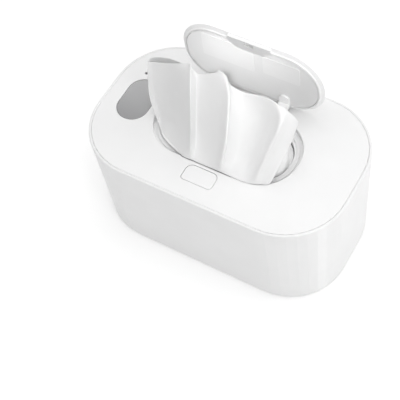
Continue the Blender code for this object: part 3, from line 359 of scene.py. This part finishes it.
def makeSeamLip(settings):
    top = rimHeight - settings["below"]
    foot = top - settings["depth"]
    inner, outer = settings["inner"], settings["outer"]
    bm = bmesh.new()
    rings = []
    for grow, z in ((inner, top), (outer, top), (outer, foot), (inner, foot)):
        rings.append([bm.verts.new((x, y, z)) for x, y in seamOutline(grow, settings)])
    count = len(rings[0])
    for ring, other in zip(rings, rings[1:] + rings[:1]):
        for i in range(count):
            j = (i + 1) % count
            bm.faces.new((ring[i], ring[j], other[j], other[i]))
    return meshFrom(bm, "seamLip")


lip = makeSeamLip(seamLip)
lip.data.materials.append(shellPlastic["lip"])
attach(lip, "tub")
print("seam lip made")


# The display window

displayWindow = {
    "colour": (0.47, 0.47, 0.475),
    # painted shade: the lens runs from this darker colour at its front to its own colour at the back
    "darker": (0.33, 0.33, 0.335),
    "paintedShadeSpan": (0.0, 0.8),      # where it is darkest and palest, as shares of the way from its front to its back
    "rough": 0.22,
    "roughSpread": (-0.05, 0.05),
    "hazeScale": 300,
    "coat": 0.4,
    "coatRough": 0.08,
}


def smokedLens(name, settings):
    # a smoked lens with painted shade: darker towards its front
    mat, tree, shader = newMaterial(name)
    coords = objectCoords(tree)
    low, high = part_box("display_window")
    back = rangeOf(tree, depthOf(tree, coords), (0, 1), (low[1], high[1]))
    tree.links.new(rampBetween(tree, back, settings["darker"], settings["colour"], *settings["paintedShadeSpan"]),
                   shader.inputs["Base Color"])
    haze = noiseMap(tree, coords, settings["hazeScale"], 2)
    tree.links.new(roughAround(tree, haze, settings["rough"], settings["roughSpread"]),
                   shader.inputs["Roughness"])
    shader.inputs["Coat Weight"].default_value = settings["coat"]
    shader.inputs["Coat Roughness"].default_value = settings["coatRough"]
    return mat


dress(smokedLens("smokedLens", displayWindow), "display_window")
print("display window finished")


# The wipes' cloth

wipeCloth = {
    "colour": (0.86, 0.86, 0.86),
    "shade": (0.84, 0.84, 0.84),
    "cloudScale": 60,
    "rough": 0.85,
    "roughSpread": (-0.05, 0.1),
    "fibreScale": 420,
    "fibreStretch": 6,
    "fibre": 0.35,
    "fibreDepth": 0.0002,
    "sheen": 0.15,
    "sheenRough": 0.5,
    "specular": 0.25,
}


def clothMaterial(name, settings):
    # non-woven cloth: crossed fibres and a soft sheen
    mat, tree, shader = newMaterial(name)
    coords = objectCoords(tree)
    cloud = noiseMap(tree, coords, settings["cloudScale"], 3)
    tree.links.new(rampBetween(tree, cloud, settings["shade"], settings["colour"]),
                   shader.inputs["Base Color"])
    scale, stretch = settings["fibreScale"], settings["fibreStretch"]
    acrossFibre = noiseMap(tree, coords, scale, 4, 0.7, (1, 1, stretch))
    alongFibre = noiseMap(tree, coords, scale, 4, 0.7, (stretch, stretch, 1))
    both = addNode(tree, "ShaderNodeMath", operation="ADD")
    tree.links.new(acrossFibre, both.inputs[0])
    tree.links.new(alongFibre, both.inputs[1])
    tree.links.new(bumpFrom(tree, both.outputs["Value"], settings["fibre"], settings["fibreDepth"]),
                   shader.inputs["Normal"])
    tree.links.new(roughAround(tree, cloud, settings["rough"], settings["roughSpread"]),
                   shader.inputs["Roughness"])
    shader.inputs["Sheen Weight"].default_value = settings["sheen"]
    shader.inputs["Sheen Roughness"].default_value = settings["sheenRough"]
    shader.inputs["Specular IOR Level"].default_value = settings["specular"]
    return mat


cloth = clothMaterial("wipeCloth", wipeCloth)


# The drawn wipe

# fold lines from the back left fold to the back right one, in mm, height above the cover's rim:
# inside the opening, where it leaves the opening, a third of the way up, two thirds up and at the top edge
foldLines = [
    [(-24, 8, -12), (-28, 8, -3), (-34, 11, 14), (-38, 14, 30), (-41, 16, 43.5)],
    [(-36, 6, -12), (-40, 6, -3), (-45, 8, 16), (-49, 11, 34), (-51.5, 13, 47.7)],
    [(-47, 1, -12), (-48, 0, -4), (-53.5, 2, 16), (-58.5, 4, 36), (-60, 5, 53)],
    [(-49.8, -9.4, -10.5), (-51.6, -10.2, -2.6), (-58.1, -8, 18.3), (-60.2, -4, 36.2), (-60.1, 0, 53.1)],
    [(-46.7, -14.4, -10.5), (-48.4, -15.8, -2.6), (-54.4, -7, 5.6), (-56.5, -2.2, 33.6), (-55.9, 2, 52.6)],
    [(-40.4, -19.8, -10.5), (-41.4, -21.6, -2.6), (-44.1, -9.5, 8.4), (-46.3, -2, 36.5), (-45.9, 3, 55.4)],
    [(-31.2, -22.8, -10.5), (-31.5, -26, -2.6), (-31.8, -14.5, 13), (-33, -5.5, 44.3), (-33.9, 2, 62.4)],
    [(-19.6, -22.9, -10.5), (-19.6, -30.6, 0.5), (-20.2, -20.5, 20),
     (-21.2, -10.5, 55.2), (-27.1, 3, 65.3)],
    [(-13.5, -22.9, -10.5), (-13.5, -30.6, 0.5), (-12.9, -25, 27.5),
     (-16.3, -12.5, 59.1), (-22.9, 1.5, 67.2)],
    [(-11.5, -22.9, -10.5), (-11.5, -30.6, 0.5), (-14.3, -20.5, 20.4),
     (-16.7, -9, 54.8), (-21.7, 2.5, 61.3)],
    [(-8.2, -22.9, -10.5), (-8.2, -30.6, 0.5), (-14, -17, 14.4), (-17.5, -4, 47.5), (-18.1, 2, 59.8)],
    [(0, -22.9, -10.5), (0, -30.6, 0.5), (-3.4, -18.5, 19), (-8, -4.5, 51.6), (-10.8, 2.5, 62.9)],
    [(7.2, -22.9, -10.5), (7.2, -30.6, 0.5), (8.7, -22, 27.1), (5, -7, 59.4), (-1.3, 3, 68.7)],
    [(10.9, -22.9, -10.5), (10.9, -30.6, 0.5), (16.7, -26, 34.7), (13.1, -9.5, 63.4), (4.1, 3, 68.2)],
    [(13.1, -22.9, -10.5), (13.1, -30.6, 0.5), (14, -20, 21.8), (12, -6.5, 53.2), (6.3, 3.5, 59)],
    [(20.1, -22.9, -10.5), (20.1, -30.6, 0.5), (17.6, -15, 10.2), (16.9, -1, 35.7), (15.5, 5, 54)],
    [(28.9, -22.9, -10.5), (28.9, -30.6, 0.5), (26.9, -13.5, 8.4), (27.7, 3, 32.4), (27.5, 6, 55.6)],
    [(33, -22.5, -10.5), (34.3, -30.1, 0.5), (35.7, -17, 14.2), (40.1, -1.5, 41.7), (36.8, 5.5, 57)],
    [(35.8, -21.8, -10.5), (38.1, -29.2, 0.5), (42.7, -21, 22.1), (49.8, -7.5, 51.4), (44.8, 4, 55.9)],
    [(39, -20.6, -10.5), (42.3, -27.5, 0.5), (45.1, -18, 16.6), (52, -3.5, 44.3), (50.2, 5, 51.6)],
    [(43.4, -17.7, -10.5), (48.3, -23.7, 0.5), (51.7, -16, 13.2), (54.2, -2.5, 24.3), (55, 9, 38.1)],
    [(46.5, -14.7, -10.5), (44.5, -13, -5.5), (47.7, -10, 10.2), (49.3, -1, 19.3), (50.6, 8, 30.3)],
    [(45, -16.3, -10.5), (44.8, -16.1, -4.6), (47.6, -13, -1.5), (47.5, -6, 3), (45, 2, 9)],
    [(50.1, -8.6, -9), (50, -8.6, -5), (50.4, -5.5, -2.6), (49.3, 0, 0.5), (45, 7, 4)],
    [(51.7, 1.6, -8.5), (49.6, 1.5, -6.2), (49.1, 3.5, -4), (47.3, 7, -1.5), (43, 12, 1)],
    [(48.8, 11.4, -8.5), (45.5, 9.5, -7.5), (44.5, 10.5, -6), (42.5, 12.5, -4), (39, 15, -3)],
    [(40.5, 19.3, -9), (38.5, 15.5, -8.5), (37.5, 16.5, -7.5), (35.5, 17, -6.5), (33, 17.5, -6)],
]

drawnWipe = {
    "folds": foldLines,
    "facesBetween": 12,      # faces between two fold lines
    "thickness": 0.0004,
    "flat": (0.160, 0.200),
    "closed": 0.42,          # share of its height that the closed lid leaves it
    # below the fold lines: height in mm and how far each fold line has gone towards the throat
    "tuck": [(-63, 1.0), (-42, 0.82), (-22, 0.38)],
    "throat": (19, 6),       # half width and half depth of the pinched cloth over the pile, in mm
    "ledge": -4.4,           # below this height the cloth stays inside the opening's wall, in mm
    "overLedge": -1.7,       # and here it clears the seal and the latch's hook on the ledge
    "edge": (30.6, 0.45),    # where it lies over the cover's edge: reach from the opening's axis and height
    "opening": (28.9, 22.9), # the opening's straight half length and its end radius inside the wall, in mm
    # slack in the cloth: long soft ripples along the fold lines and small creases,
    # each as its place in the noise and how often it comes across and along the cloth
    "wrinkle": 0.0004,
    "ripple": (1.3, 17, 2.5),
    "crease": (7.1, 46, 16),
    "creaseShare": 0.22,
    "calmBelow": 0.008,      # the slack fades out over this height above the rim
}


def catmullRom(values, position):
    index = max(0, min(int(position), len(values) - 2))
    t = position - index
    a, b = values[max(index - 1, 0)], values[index]
    c, d = values[index + 1], values[min(index + 2, len(values) - 1)]
    return 0.5 * (2 * b + (c - a) * t + (2 * a - 5 * b + 4 * c - d) * t ** 2
                  + (3 * b - a - 3 * c + d) * t ** 3)


def insideOpening(x, y, settings):
    straight, radius = settings["opening"]
    centre = max(-straight, min(straight, x))
    reach = math.hypot(x - centre, y)
    if reach > radius:
        x, y = centre + (x - centre) * radius / reach, y * radius / reach
    return x, y


def clearOfLedge(place, settings):
    # inside the opening's wall below the ledge, above the seal and the hook on the way to the cover's edge
    x, y, z = place
    if z < settings["ledge"]:
        x, y = insideOpening(x, y, settings)
        return x, y, z
    straight, wall = settings["opening"]
    edgeReach, edgeHeight = settings["edge"]
    reach = math.hypot(x - max(-straight, min(straight, x)), y)
    if reach > wall:
        share = min(1.0, (reach - wall) / (edgeReach - wall))
        z = max(z, settings["overLedge"] + (edgeHeight - settings["overLedge"]) * share)
    return x, y, z


def tuckedLevel(height, share, settings):
    # one level between the pile and the opening, where the fold lines run together to the throat
    folds = settings["folds"]
    halfWidth, halfDepth = settings["throat"]
    places = []
    for index, fold in enumerate(folds):
        throatX = halfWidth * (2 * index / (len(folds) - 1) - 1)
        throatY = halfDepth * (-1) ** index
        x = fold[0][0] + (throatX - fold[0][0]) * share
        y = fold[0][1] + (throatY - fold[0][1]) * share
        x, y = insideOpening(x, y, settings)
        places.append(Vector((x, y, height)) / 1000)
    return places


def wallLevel(below, above, settings):
    # the cloth climbs the opening's wall to the ledge before it lies over the cover's edge
    places = []
    for lower, upper in zip(below, above):
        middle = (lower + upper) / 2 * 1000
        x, y = insideOpening(middle.x, middle.y, settings)
        if upper.z * 1000 > settings["overLedge"]:
            middle.z = settings["overLedge"]
        places.append(Vector((x, y, middle.z)) / 1000)
    return places


def foldLevels(settings):
    # every level from the pile to the top edge, as places on each fold line
    folds = settings["folds"]
    tucked = [tuckedLevel(height, share, settings) for height, share in settings["tuck"]]
    drawn = [[Vector(fold[level]) / 1000 for fold in folds] for level in range(len(folds[0]))]
    return [*tucked, drawn[0], wallLevel(drawn[0], drawn[1], settings), *drawn[1:]]


def clothGrid(bm, levels, rows, columns, settings):
    # the cloth's vertices, row by row from the pile up
    between = settings["facesBetween"]
    grid = []
    for row in range(rows + 1):
        line = []
        for column in range(columns + 1):
            places = [catmullRom(level, column / between) for level in levels]
            x, y, z = clearOfLedge(catmullRom(places, row / between) * 1000, settings)
            line.append(bm.verts.new((x / 1000, y / 1000, rimHeight + z / 1000)))
        grid.append(line)
    return grid


def fillGrid(bm, uvLayer, grid, rows, columns):
    for row in range(rows):
        for column in range(columns):
            corners = ((row, column), (row, column + 1), (row + 1, column + 1), (row + 1, column))
            face = bm.faces.new([grid[r][c] for r, c in corners])
            for loop, (r, c) in zip(face.loops, corners):
                loop[uvLayer].uv = (c / columns, r / rows)


def slackAt(u, v, place, across, along):
    return noise.noise(Vector((u * across, v * along, place)))


def slacken(bm, grid, rows, columns, settings):
    height = settings["wrinkle"]
    bm.normal_update()
    for row, line in enumerate(grid):
        for column, vert in enumerate(line):
            u, v = column / columns, row / rows
            ripple = slackAt(u, v, *settings["ripple"]) * height
            crease = slackAt(u, v, *settings["crease"]) * height * settings["creaseShare"]
            free = max(0.0, min(1.0, (vert.co.z - rimHeight) / settings["calmBelow"]))
            vert.co += vert.normal * (ripple + crease) * free


def makeDrawnWipe(settings):
    levels = foldLevels(settings)
    columns = (len(levels[0]) - 1) * settings["facesBetween"]
    rows = (len(levels) - 1) * settings["facesBetween"]
    bm = bmesh.new()
    uvLayer = bm.loops.layers.uv.new("sheet")
    grid = clothGrid(bm, levels, rows, columns, settings)
    fillGrid(bm, uvLayer, grid, rows, columns)
    slacken(bm, grid, rows, columns, settings)
    mesh = bpy.data.meshes.new("drawnWipe")
    bm.to_mesh(mesh)
    bm.free()
    mesh.shade_smooth()
    wipe = addObject("drawnWipe", mesh)
    thick = wipe.modifiers.new("thickness", "SOLIDIFY")
    thick.thickness = settings["thickness"]
    thick.offset = 0.0
    settle(wipe)
    wipe.data.materials.append(cloth)
    return wipe


wipe = makeDrawnWipe(drawnWipe)
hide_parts("drawn_wipe")
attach(wipe, "cover")
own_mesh(wipe)


# The pile of wipes

wipePile = {
    "layers": 22,
    "thickness": 0.9,        # a folded wipe's, as a share of the pitch
    "bend": 0.010,           # radius of the pile's corners
    "bendSegments": 5,
    "soft": 0.42,            # radius of a folded wipe's edges, as a share of the pitch
    "softSegments": 2,
    "shift": 0.0008,         # how far a layer lies off its neighbour
    "seed": 5,
    "fill": 0.5,
}


def makeFoldedWipe(size, pitch, settings):
    # one folded wipe, soft at its edges, with room round it for the shift
    room = 4 * settings["shift"]
    bm = bmesh.new()
    bmesh.ops.create_cube(bm, size=1.0)
    for vert in bm.verts:
        x, y, z = vert.co
        vert.co = Vector((x * (size.x - room), y * (size.y - room), z * pitch * settings["thickness"]))
    upright = [edge for edge in bm.edges if abs(edge.verts[0].co.z - edge.verts[1].co.z) > pitch / 2]
    bmesh.ops.bevel(bm, geom=upright, offset=settings["bend"], segments=settings["bendSegments"],
                    affect="EDGES")
    level = [edge for edge in bm.edges if abs(edge.verts[0].co.z - edge.verts[1].co.z) < pitch / 10]
    sharp = 1.2              # an edge that turns by more than this angle is one of the wipe's rims
    rims = [edge for edge in level if len(edge.link_faces) == 2 and edge.calc_face_angle(0) > sharp]
    bmesh.ops.bevel(bm, geom=rims, offset=pitch * settings["soft"], segments=settings["softSegments"],
                    affect="EDGES")
    layer = meshFrom(bm, "foldedWipe")
    layer.data.shade_smooth()
    return layer


def pileTree(layer, pitch, settings):
    # geometry nodes that lay one wipe on another, each a little off its neighbour
    tree = bpy.data.node_groups.new("pileOfWipes", "GeometryNodeTree")
    sockets = (("Layers", "NodeSocketInt", settings["layers"]), ("Pitch", "NodeSocketFloat", pitch),
               ("Shift", "NodeSocketFloat", settings["shift"]), ("Seed", "NodeSocketInt", settings["seed"]))
    for title, kind, value in sockets:
        socket = tree.interface.new_socket(title, in_out="INPUT", socket_type=kind)
        socket.default_value = value
    tree.interface.new_socket("Geometry", in_out="OUTPUT", socket_type="NodeSocketGeometry")
    nodes, links = tree.nodes, tree.links
    inputs = nodes.new("NodeGroupInput")
    output = nodes.new("NodeGroupOutput")
    line = nodes.new("GeometryNodeMeshLine")
    step = nodes.new("ShaderNodeCombineXYZ")
    links.new(inputs.outputs["Layers"], line.inputs["Count"])
    links.new(inputs.outputs["Pitch"], step.inputs["Z"])
    links.new(step.outputs["Vector"], line.inputs["Offset"])
    points = nodes.new("GeometryNodeInstanceOnPoints")
    source = nodes.new("GeometryNodeObjectInfo")
    source.inputs["Object"].default_value = layer
    links.new(source.outputs["Geometry"], points.inputs["Instance"])
    links.new(line.outputs["Mesh"], points.inputs["Points"])
    slip = nodes.new("FunctionNodeRandomValue")
    slip.data_type = "FLOAT_VECTOR"
    slip.inputs["Min"].default_value = (-1, -1, 0)
    slip.inputs["Max"].default_value = (1, 1, 0)
    links.new(inputs.outputs["Seed"], slip.inputs["Seed"])
    scaled = nodes.new("ShaderNodeVectorMath")
    scaled.operation = "SCALE"
    links.new(slip.outputs["Value"], scaled.inputs["Vector"])
    links.new(inputs.outputs["Shift"], scaled.inputs["Scale"])
    move = nodes.new("GeometryNodeTranslateInstances")
    links.new(points.outputs["Instances"], move.inputs["Instances"])
    links.new(scaled.outputs["Vector"], move.inputs["Translation"])
    real = nodes.new("GeometryNodeRealizeInstances")
    links.new(move.outputs["Instances"], real.inputs["Geometry"])
    finishNode = nodes.new("GeometryNodeSetMaterial")
    finishNode.inputs["Material"].default_value = cloth
    links.new(real.outputs["Geometry"], finishNode.inputs["Geometry"])
    links.new(finishNode.outputs["Geometry"], output.inputs["Geometry"])
    return tree


def makeWipePile(settings):
    low, high = (Vector(corner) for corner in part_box("wipe_stack"))
    pitch = (high.z - low.z) / settings["layers"]
    layer = makeFoldedWipe(high - low, pitch, settings)
    pile = addObject("wipePile", bpy.data.meshes.new("wipePile"))
    pile.modifiers.new("layers", "NODES").node_group = pileTree(layer, pitch, settings)
    settle(pile)
    for vert in pile.data.vertices:
        vert.co += Vector(((low.x + high.x) / 2, (low.y + high.y) / 2, low.z + pitch / 2))
    bpy.data.objects.remove(layer)
    return pile


pile = makeWipePile(wipePile)
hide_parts("wipe_stack")
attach(pile, "tub")
print("pile of wipes made")


# Bare plates on the lid's liner, in the printed labels' places

linerPlates = {
    "thickness": 0.00025,
    "corner": 0.0015,
    "cornerSteps": 6,
    "off": 0.00006,          # between the plate and the liner
    "linerDepth": 0.0030,    # from the lid shell's back to the liner's face
    "left": dict(x=(-0.0400, 0.0028), z=(0.0291, 0.0523)),     # z is the height above the rim
    "right": dict(x=(0.0103, 0.0400), z=(0.0321, 0.0502)),
    "finish": dict(colour=(0.84, 0.84, 0.84), rough=0.45, grain=0.1, shade=0.03),
}


def makePlate(name, x, z, settings):
    curve = bpy.data.curves.new(name, "CURVE")
    curve.dimensions = "2D"
    curve.fill_mode = "BOTH"
    curve.extrude = settings["thickness"] / 2
    spline = curve.splines.new("POLY")
    halfWidth, halfHeight = (x[1] - x[0]) / 2, (z[1] - z[0]) / 2
    outline = roundedCorners(halfWidth, halfHeight, settings["corner"], settings["cornerSteps"])
    spline.points.add(len(outline) - 1)
    for point, (px, pz) in zip(spline.points, outline):
        point.co = (sum(x) / 2 + px, sum(z) / 2 + pz, 0, 1)
    spline.use_cyclic_u = True
    flat = addObject(name, curve)
    mesh = finalMesh(flat)
    bpy.data.objects.remove(flat)
    # stand it up against the liner, which faces the front when the lid is open
    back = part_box("lid_shell")[1][1] - settings["linerDepth"] - settings["off"]
    bm = bmesh.new()
    bm.from_mesh(mesh)
    bmesh.ops.remove_doubles(bm, verts=bm.verts, dist=mergeDistance)
    for vert in bm.verts:
        px, pz, py = vert.co
        vert.co = (px, back - settings["thickness"] / 2 + py, rimHeight + pz)
    return meshFrom(bm, name)


plateFinish = mouldedPlastic("platePaper", **linerPlates["finish"])
plates = []
for side in ("left", "right"):
    plate = makePlate(side + "LinerPlate", linerPlates[side]["x"], linerPlates[side]["z"], linerPlates)
    plate.data.materials.append(plateFinish)
    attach(plate, "lid")
    plates.append(plate)
print("bare plates on the liner")


# The studio's floor and backdrop

paperFloor = {
    "reach": 3.0,
    "darker": (0.80, 0.80, 0.80),
    "colour": (0.83, 0.83, 0.83),
    "grainScale": 900,
    "rough": 0.9,
    "glow": (0.32, 1.0),     # the paper's own light near the object and far away
    "glowFrom": (0.45, 1.1), # and the distances between which it rises
}


def glowFar(tree, coords, settings):
    # far from the object the paper is lit up to the white of the backdrop, so that no horizon shows
    glow = tree.nodes.new("ShaderNodeEmission")
    away = addNode(tree, "ShaderNodeVectorMath", operation="LENGTH")
    tree.links.new(coords, away.inputs[0])
    rise = rangeOf(tree, away.outputs["Value"], settings["glow"], settings["glowFrom"])
    tree.links.new(rise, glow.inputs["Strength"])
    return glow.outputs["Emission"]


def paperMaterial(name, settings):
    mat, tree, shader = newMaterial(name)
    coords = objectCoords(tree)
    grain = noiseMap(tree, coords, settings["grainScale"], 3)
    tree.links.new(rampBetween(tree, grain, settings["darker"], settings["colour"]),
                   shader.inputs["Base Color"])
    shader.inputs["Roughness"].default_value = settings["rough"]
    # the glow is only there for the camera and for reflections, and lights nothing
    path = tree.nodes.new("ShaderNodeLightPath")
    seen = addNode(tree, "ShaderNodeMath", operation="MAXIMUM")
    tree.links.new(path.outputs["Is Camera Ray"], seen.inputs[0])
    tree.links.new(path.outputs["Is Glossy Ray"], seen.inputs[1])
    lit = tree.nodes.new("ShaderNodeAddShader")
    tree.links.new(shader.outputs["BSDF"], lit.inputs[0])
    tree.links.new(glowFar(tree, coords, settings), lit.inputs[1])
    either = tree.nodes.new("ShaderNodeMixShader")
    tree.links.new(seen.outputs["Value"], either.inputs["Fac"])
    tree.links.new(shader.outputs["BSDF"], either.inputs[1])
    tree.links.new(lit.outputs["Shader"], either.inputs[2])
    tree.links.new(either.outputs["Shader"], tree.nodes["Material Output"].inputs["Surface"])
    return mat


def makeFloor(settings):
    bm = bmesh.new()
    bmesh.ops.create_grid(bm, x_segments=8, y_segments=8, size=settings["reach"])
    floor = meshFrom(bm, "studioFloor")
    floor.data.materials.append(paperMaterial("paperFloor", settings))
    return floor


makeFloor(paperFloor)

backdrop = {
    "light": 0.60,           # what the world gives the object
    "seen": 1.0,             # and how bright the camera sees it
}


def makeBackdrop(settings):
    world = bpy.data.worlds.new("studioWorld")
    bpy.context.scene.world = world
    world.use_nodes = True
    tree = world.node_tree
    back = tree.nodes["Background"]
    back.inputs["Color"].default_value = (1, 1, 1, 1)
    path = tree.nodes.new("ShaderNodeLightPath")
    strength = rangeOf(tree, path.outputs["Is Camera Ray"], (settings["light"], settings["seen"]))
    tree.links.new(strength, back.inputs["Strength"])


makeBackdrop(backdrop)
print("floor and backdrop made")


# The studio's lamps

softLamps = {
    "keyLamp": dict(place=(1.05, -0.60, 0.62), aim=(0, 0, 0.06), size=(0.5, 0.5), power=3.35, spread=180),
    "topLamp": dict(place=(0.0, 0.1, 1.3), aim=(0, 0, 0.06), size=(1.0, 1.0), power=4.8, spread=180),
    "backLamp": dict(place=(0.75, 0.55, 0.95), aim=(0, 0, 0.06), size=(0.7, 0.7), power=1.7, spread=180),
    # a narrow strip that draws the bright stripe down the right front corner
    "stripLamp": dict(place=(0.185, -0.092, 0.052), aim=(0.098, -0.0395, 0.05), size=(0.003, 0.11),
                      power=0.00022, spread=9),
}
spotRadius = 0.03
spots = {
    "lidSpotLeft": dict(lights="lining", place=(0.24, -0.38, 0.70), aim=(-0.016, 0.042, 0.145), power=24.0,
                        cone=7.6),
    "lidSpotRight": dict(lights="lining", place=(0.28, -0.34, 0.70), aim=(0.027, 0.042, 0.141), power=7.0,
                         cone=7.0),
    "lidEdgeSpot": dict(lights="shell", place=(0.20, -0.40, 0.70), aim=(0.0, 0.042, 0.152), power=3.5,
                        cone=10.0),
    "foldSpot": dict(lights="cloth", place=(0.28, -0.34, 0.70), aim=(0.019, 0.0, 0.145), power=6.5, cone=4.6),
    "clothSpot": dict(lights="cloth", place=(0.30, -0.32, 0.70), aim=(0.024, -0.004, 0.140), power=2.2,
                      cone=12.0),
}


def collectPieces(name, *members):
    group = bpy.data.collections.new(name)
    for obj in members:
        group.objects.link(obj)
    return group


# the spots reach only these pieces, or they would bleach the cover when the lid is closed
receivers = {
    "lining": collectPieces("liningLitBySpots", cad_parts["lid_liner"], *plates),
    "shell": collectPieces("shellLitBySpots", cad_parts["lid_shell"]),
    "cloth": collectPieces("clothLitBySpots", wipe),
}


def placeLamp(light, place, aim):
    lamp = addObject(light.name, light)
    lamp.location = place
    lamp.rotation_euler = (Vector(aim) - Vector(place)).to_track_quat("-Z", "Y").to_euler()
    lamp.visible_camera = False
    return lamp


def softLamp(name, place, aim, size, power, spread):
    light = bpy.data.lights.new(name, "AREA")
    light.shape = "RECTANGLE"
    light.size, light.size_y = size
    light.energy = power
    light.spread = math.radians(spread)
    placeLamp(light, place, aim)


def spotLamp(name, lights, place, aim, power, cone):
    light = bpy.data.lights.new(name, "SPOT")
    light.energy = power
    light.spot_size = math.radians(cone)
    light.spot_blend = 1.0
    light.shadow_soft_size = spotRadius
    placeLamp(light, place, aim).light_linking.receiver_collection = receivers[lights]


for name, settings in softLamps.items():
    softLamp(name, **settings)
for name, settings in spots.items():
    spotLamp(name, **settings)
print("studio lit")


# The camera at the photograph's place

viewpoint = {
    "azimuth": 0.6935,
    "elevation": 1.0002,
    "roll": -0.1989,
    "distance": 0.8512,
    "target": (-0.0376, 0.0, -0.0198),
    "focalPixels": 1004.5,   # focal length in the photograph's pixels
    "imageWidth": 400,
    "sensorWidth": 36,
}


def placeCamera(settings):
    az, el = settings["azimuth"], settings["elevation"]
    away = Vector((math.sin(az) * math.cos(el), -math.cos(az) * math.cos(el), math.sin(el)))
    place = Vector(settings["target"]) + away * settings["distance"]
    right = (-away).cross(Vector((0, 0, 1))).normalized()
    up = right.cross(-away)
    c, s = math.cos(settings["roll"]), math.sin(settings["roll"])
    camRight, camUp = right * c + up * s, up * c - right * s
    data = bpy.data.cameras.new("photoCamera")
    data.lens = settings["focalPixels"] / settings["imageWidth"] * settings["sensorWidth"]
    data.sensor_width = settings["sensorWidth"]
    cam = addObject("photoCamera", data)
    matrix = cam.matrix_world.copy()
    for i in range(3):
        matrix[i][0], matrix[i][1], matrix[i][2], matrix[i][3] = camRight[i], camUp[i], away[i], place[i]
    cam.matrix_world = matrix
    bpy.context.scene.camera = cam


placeCamera(viewpoint)
bpy.context.scene.view_settings.view_transform = "Standard"
print("camera placed")
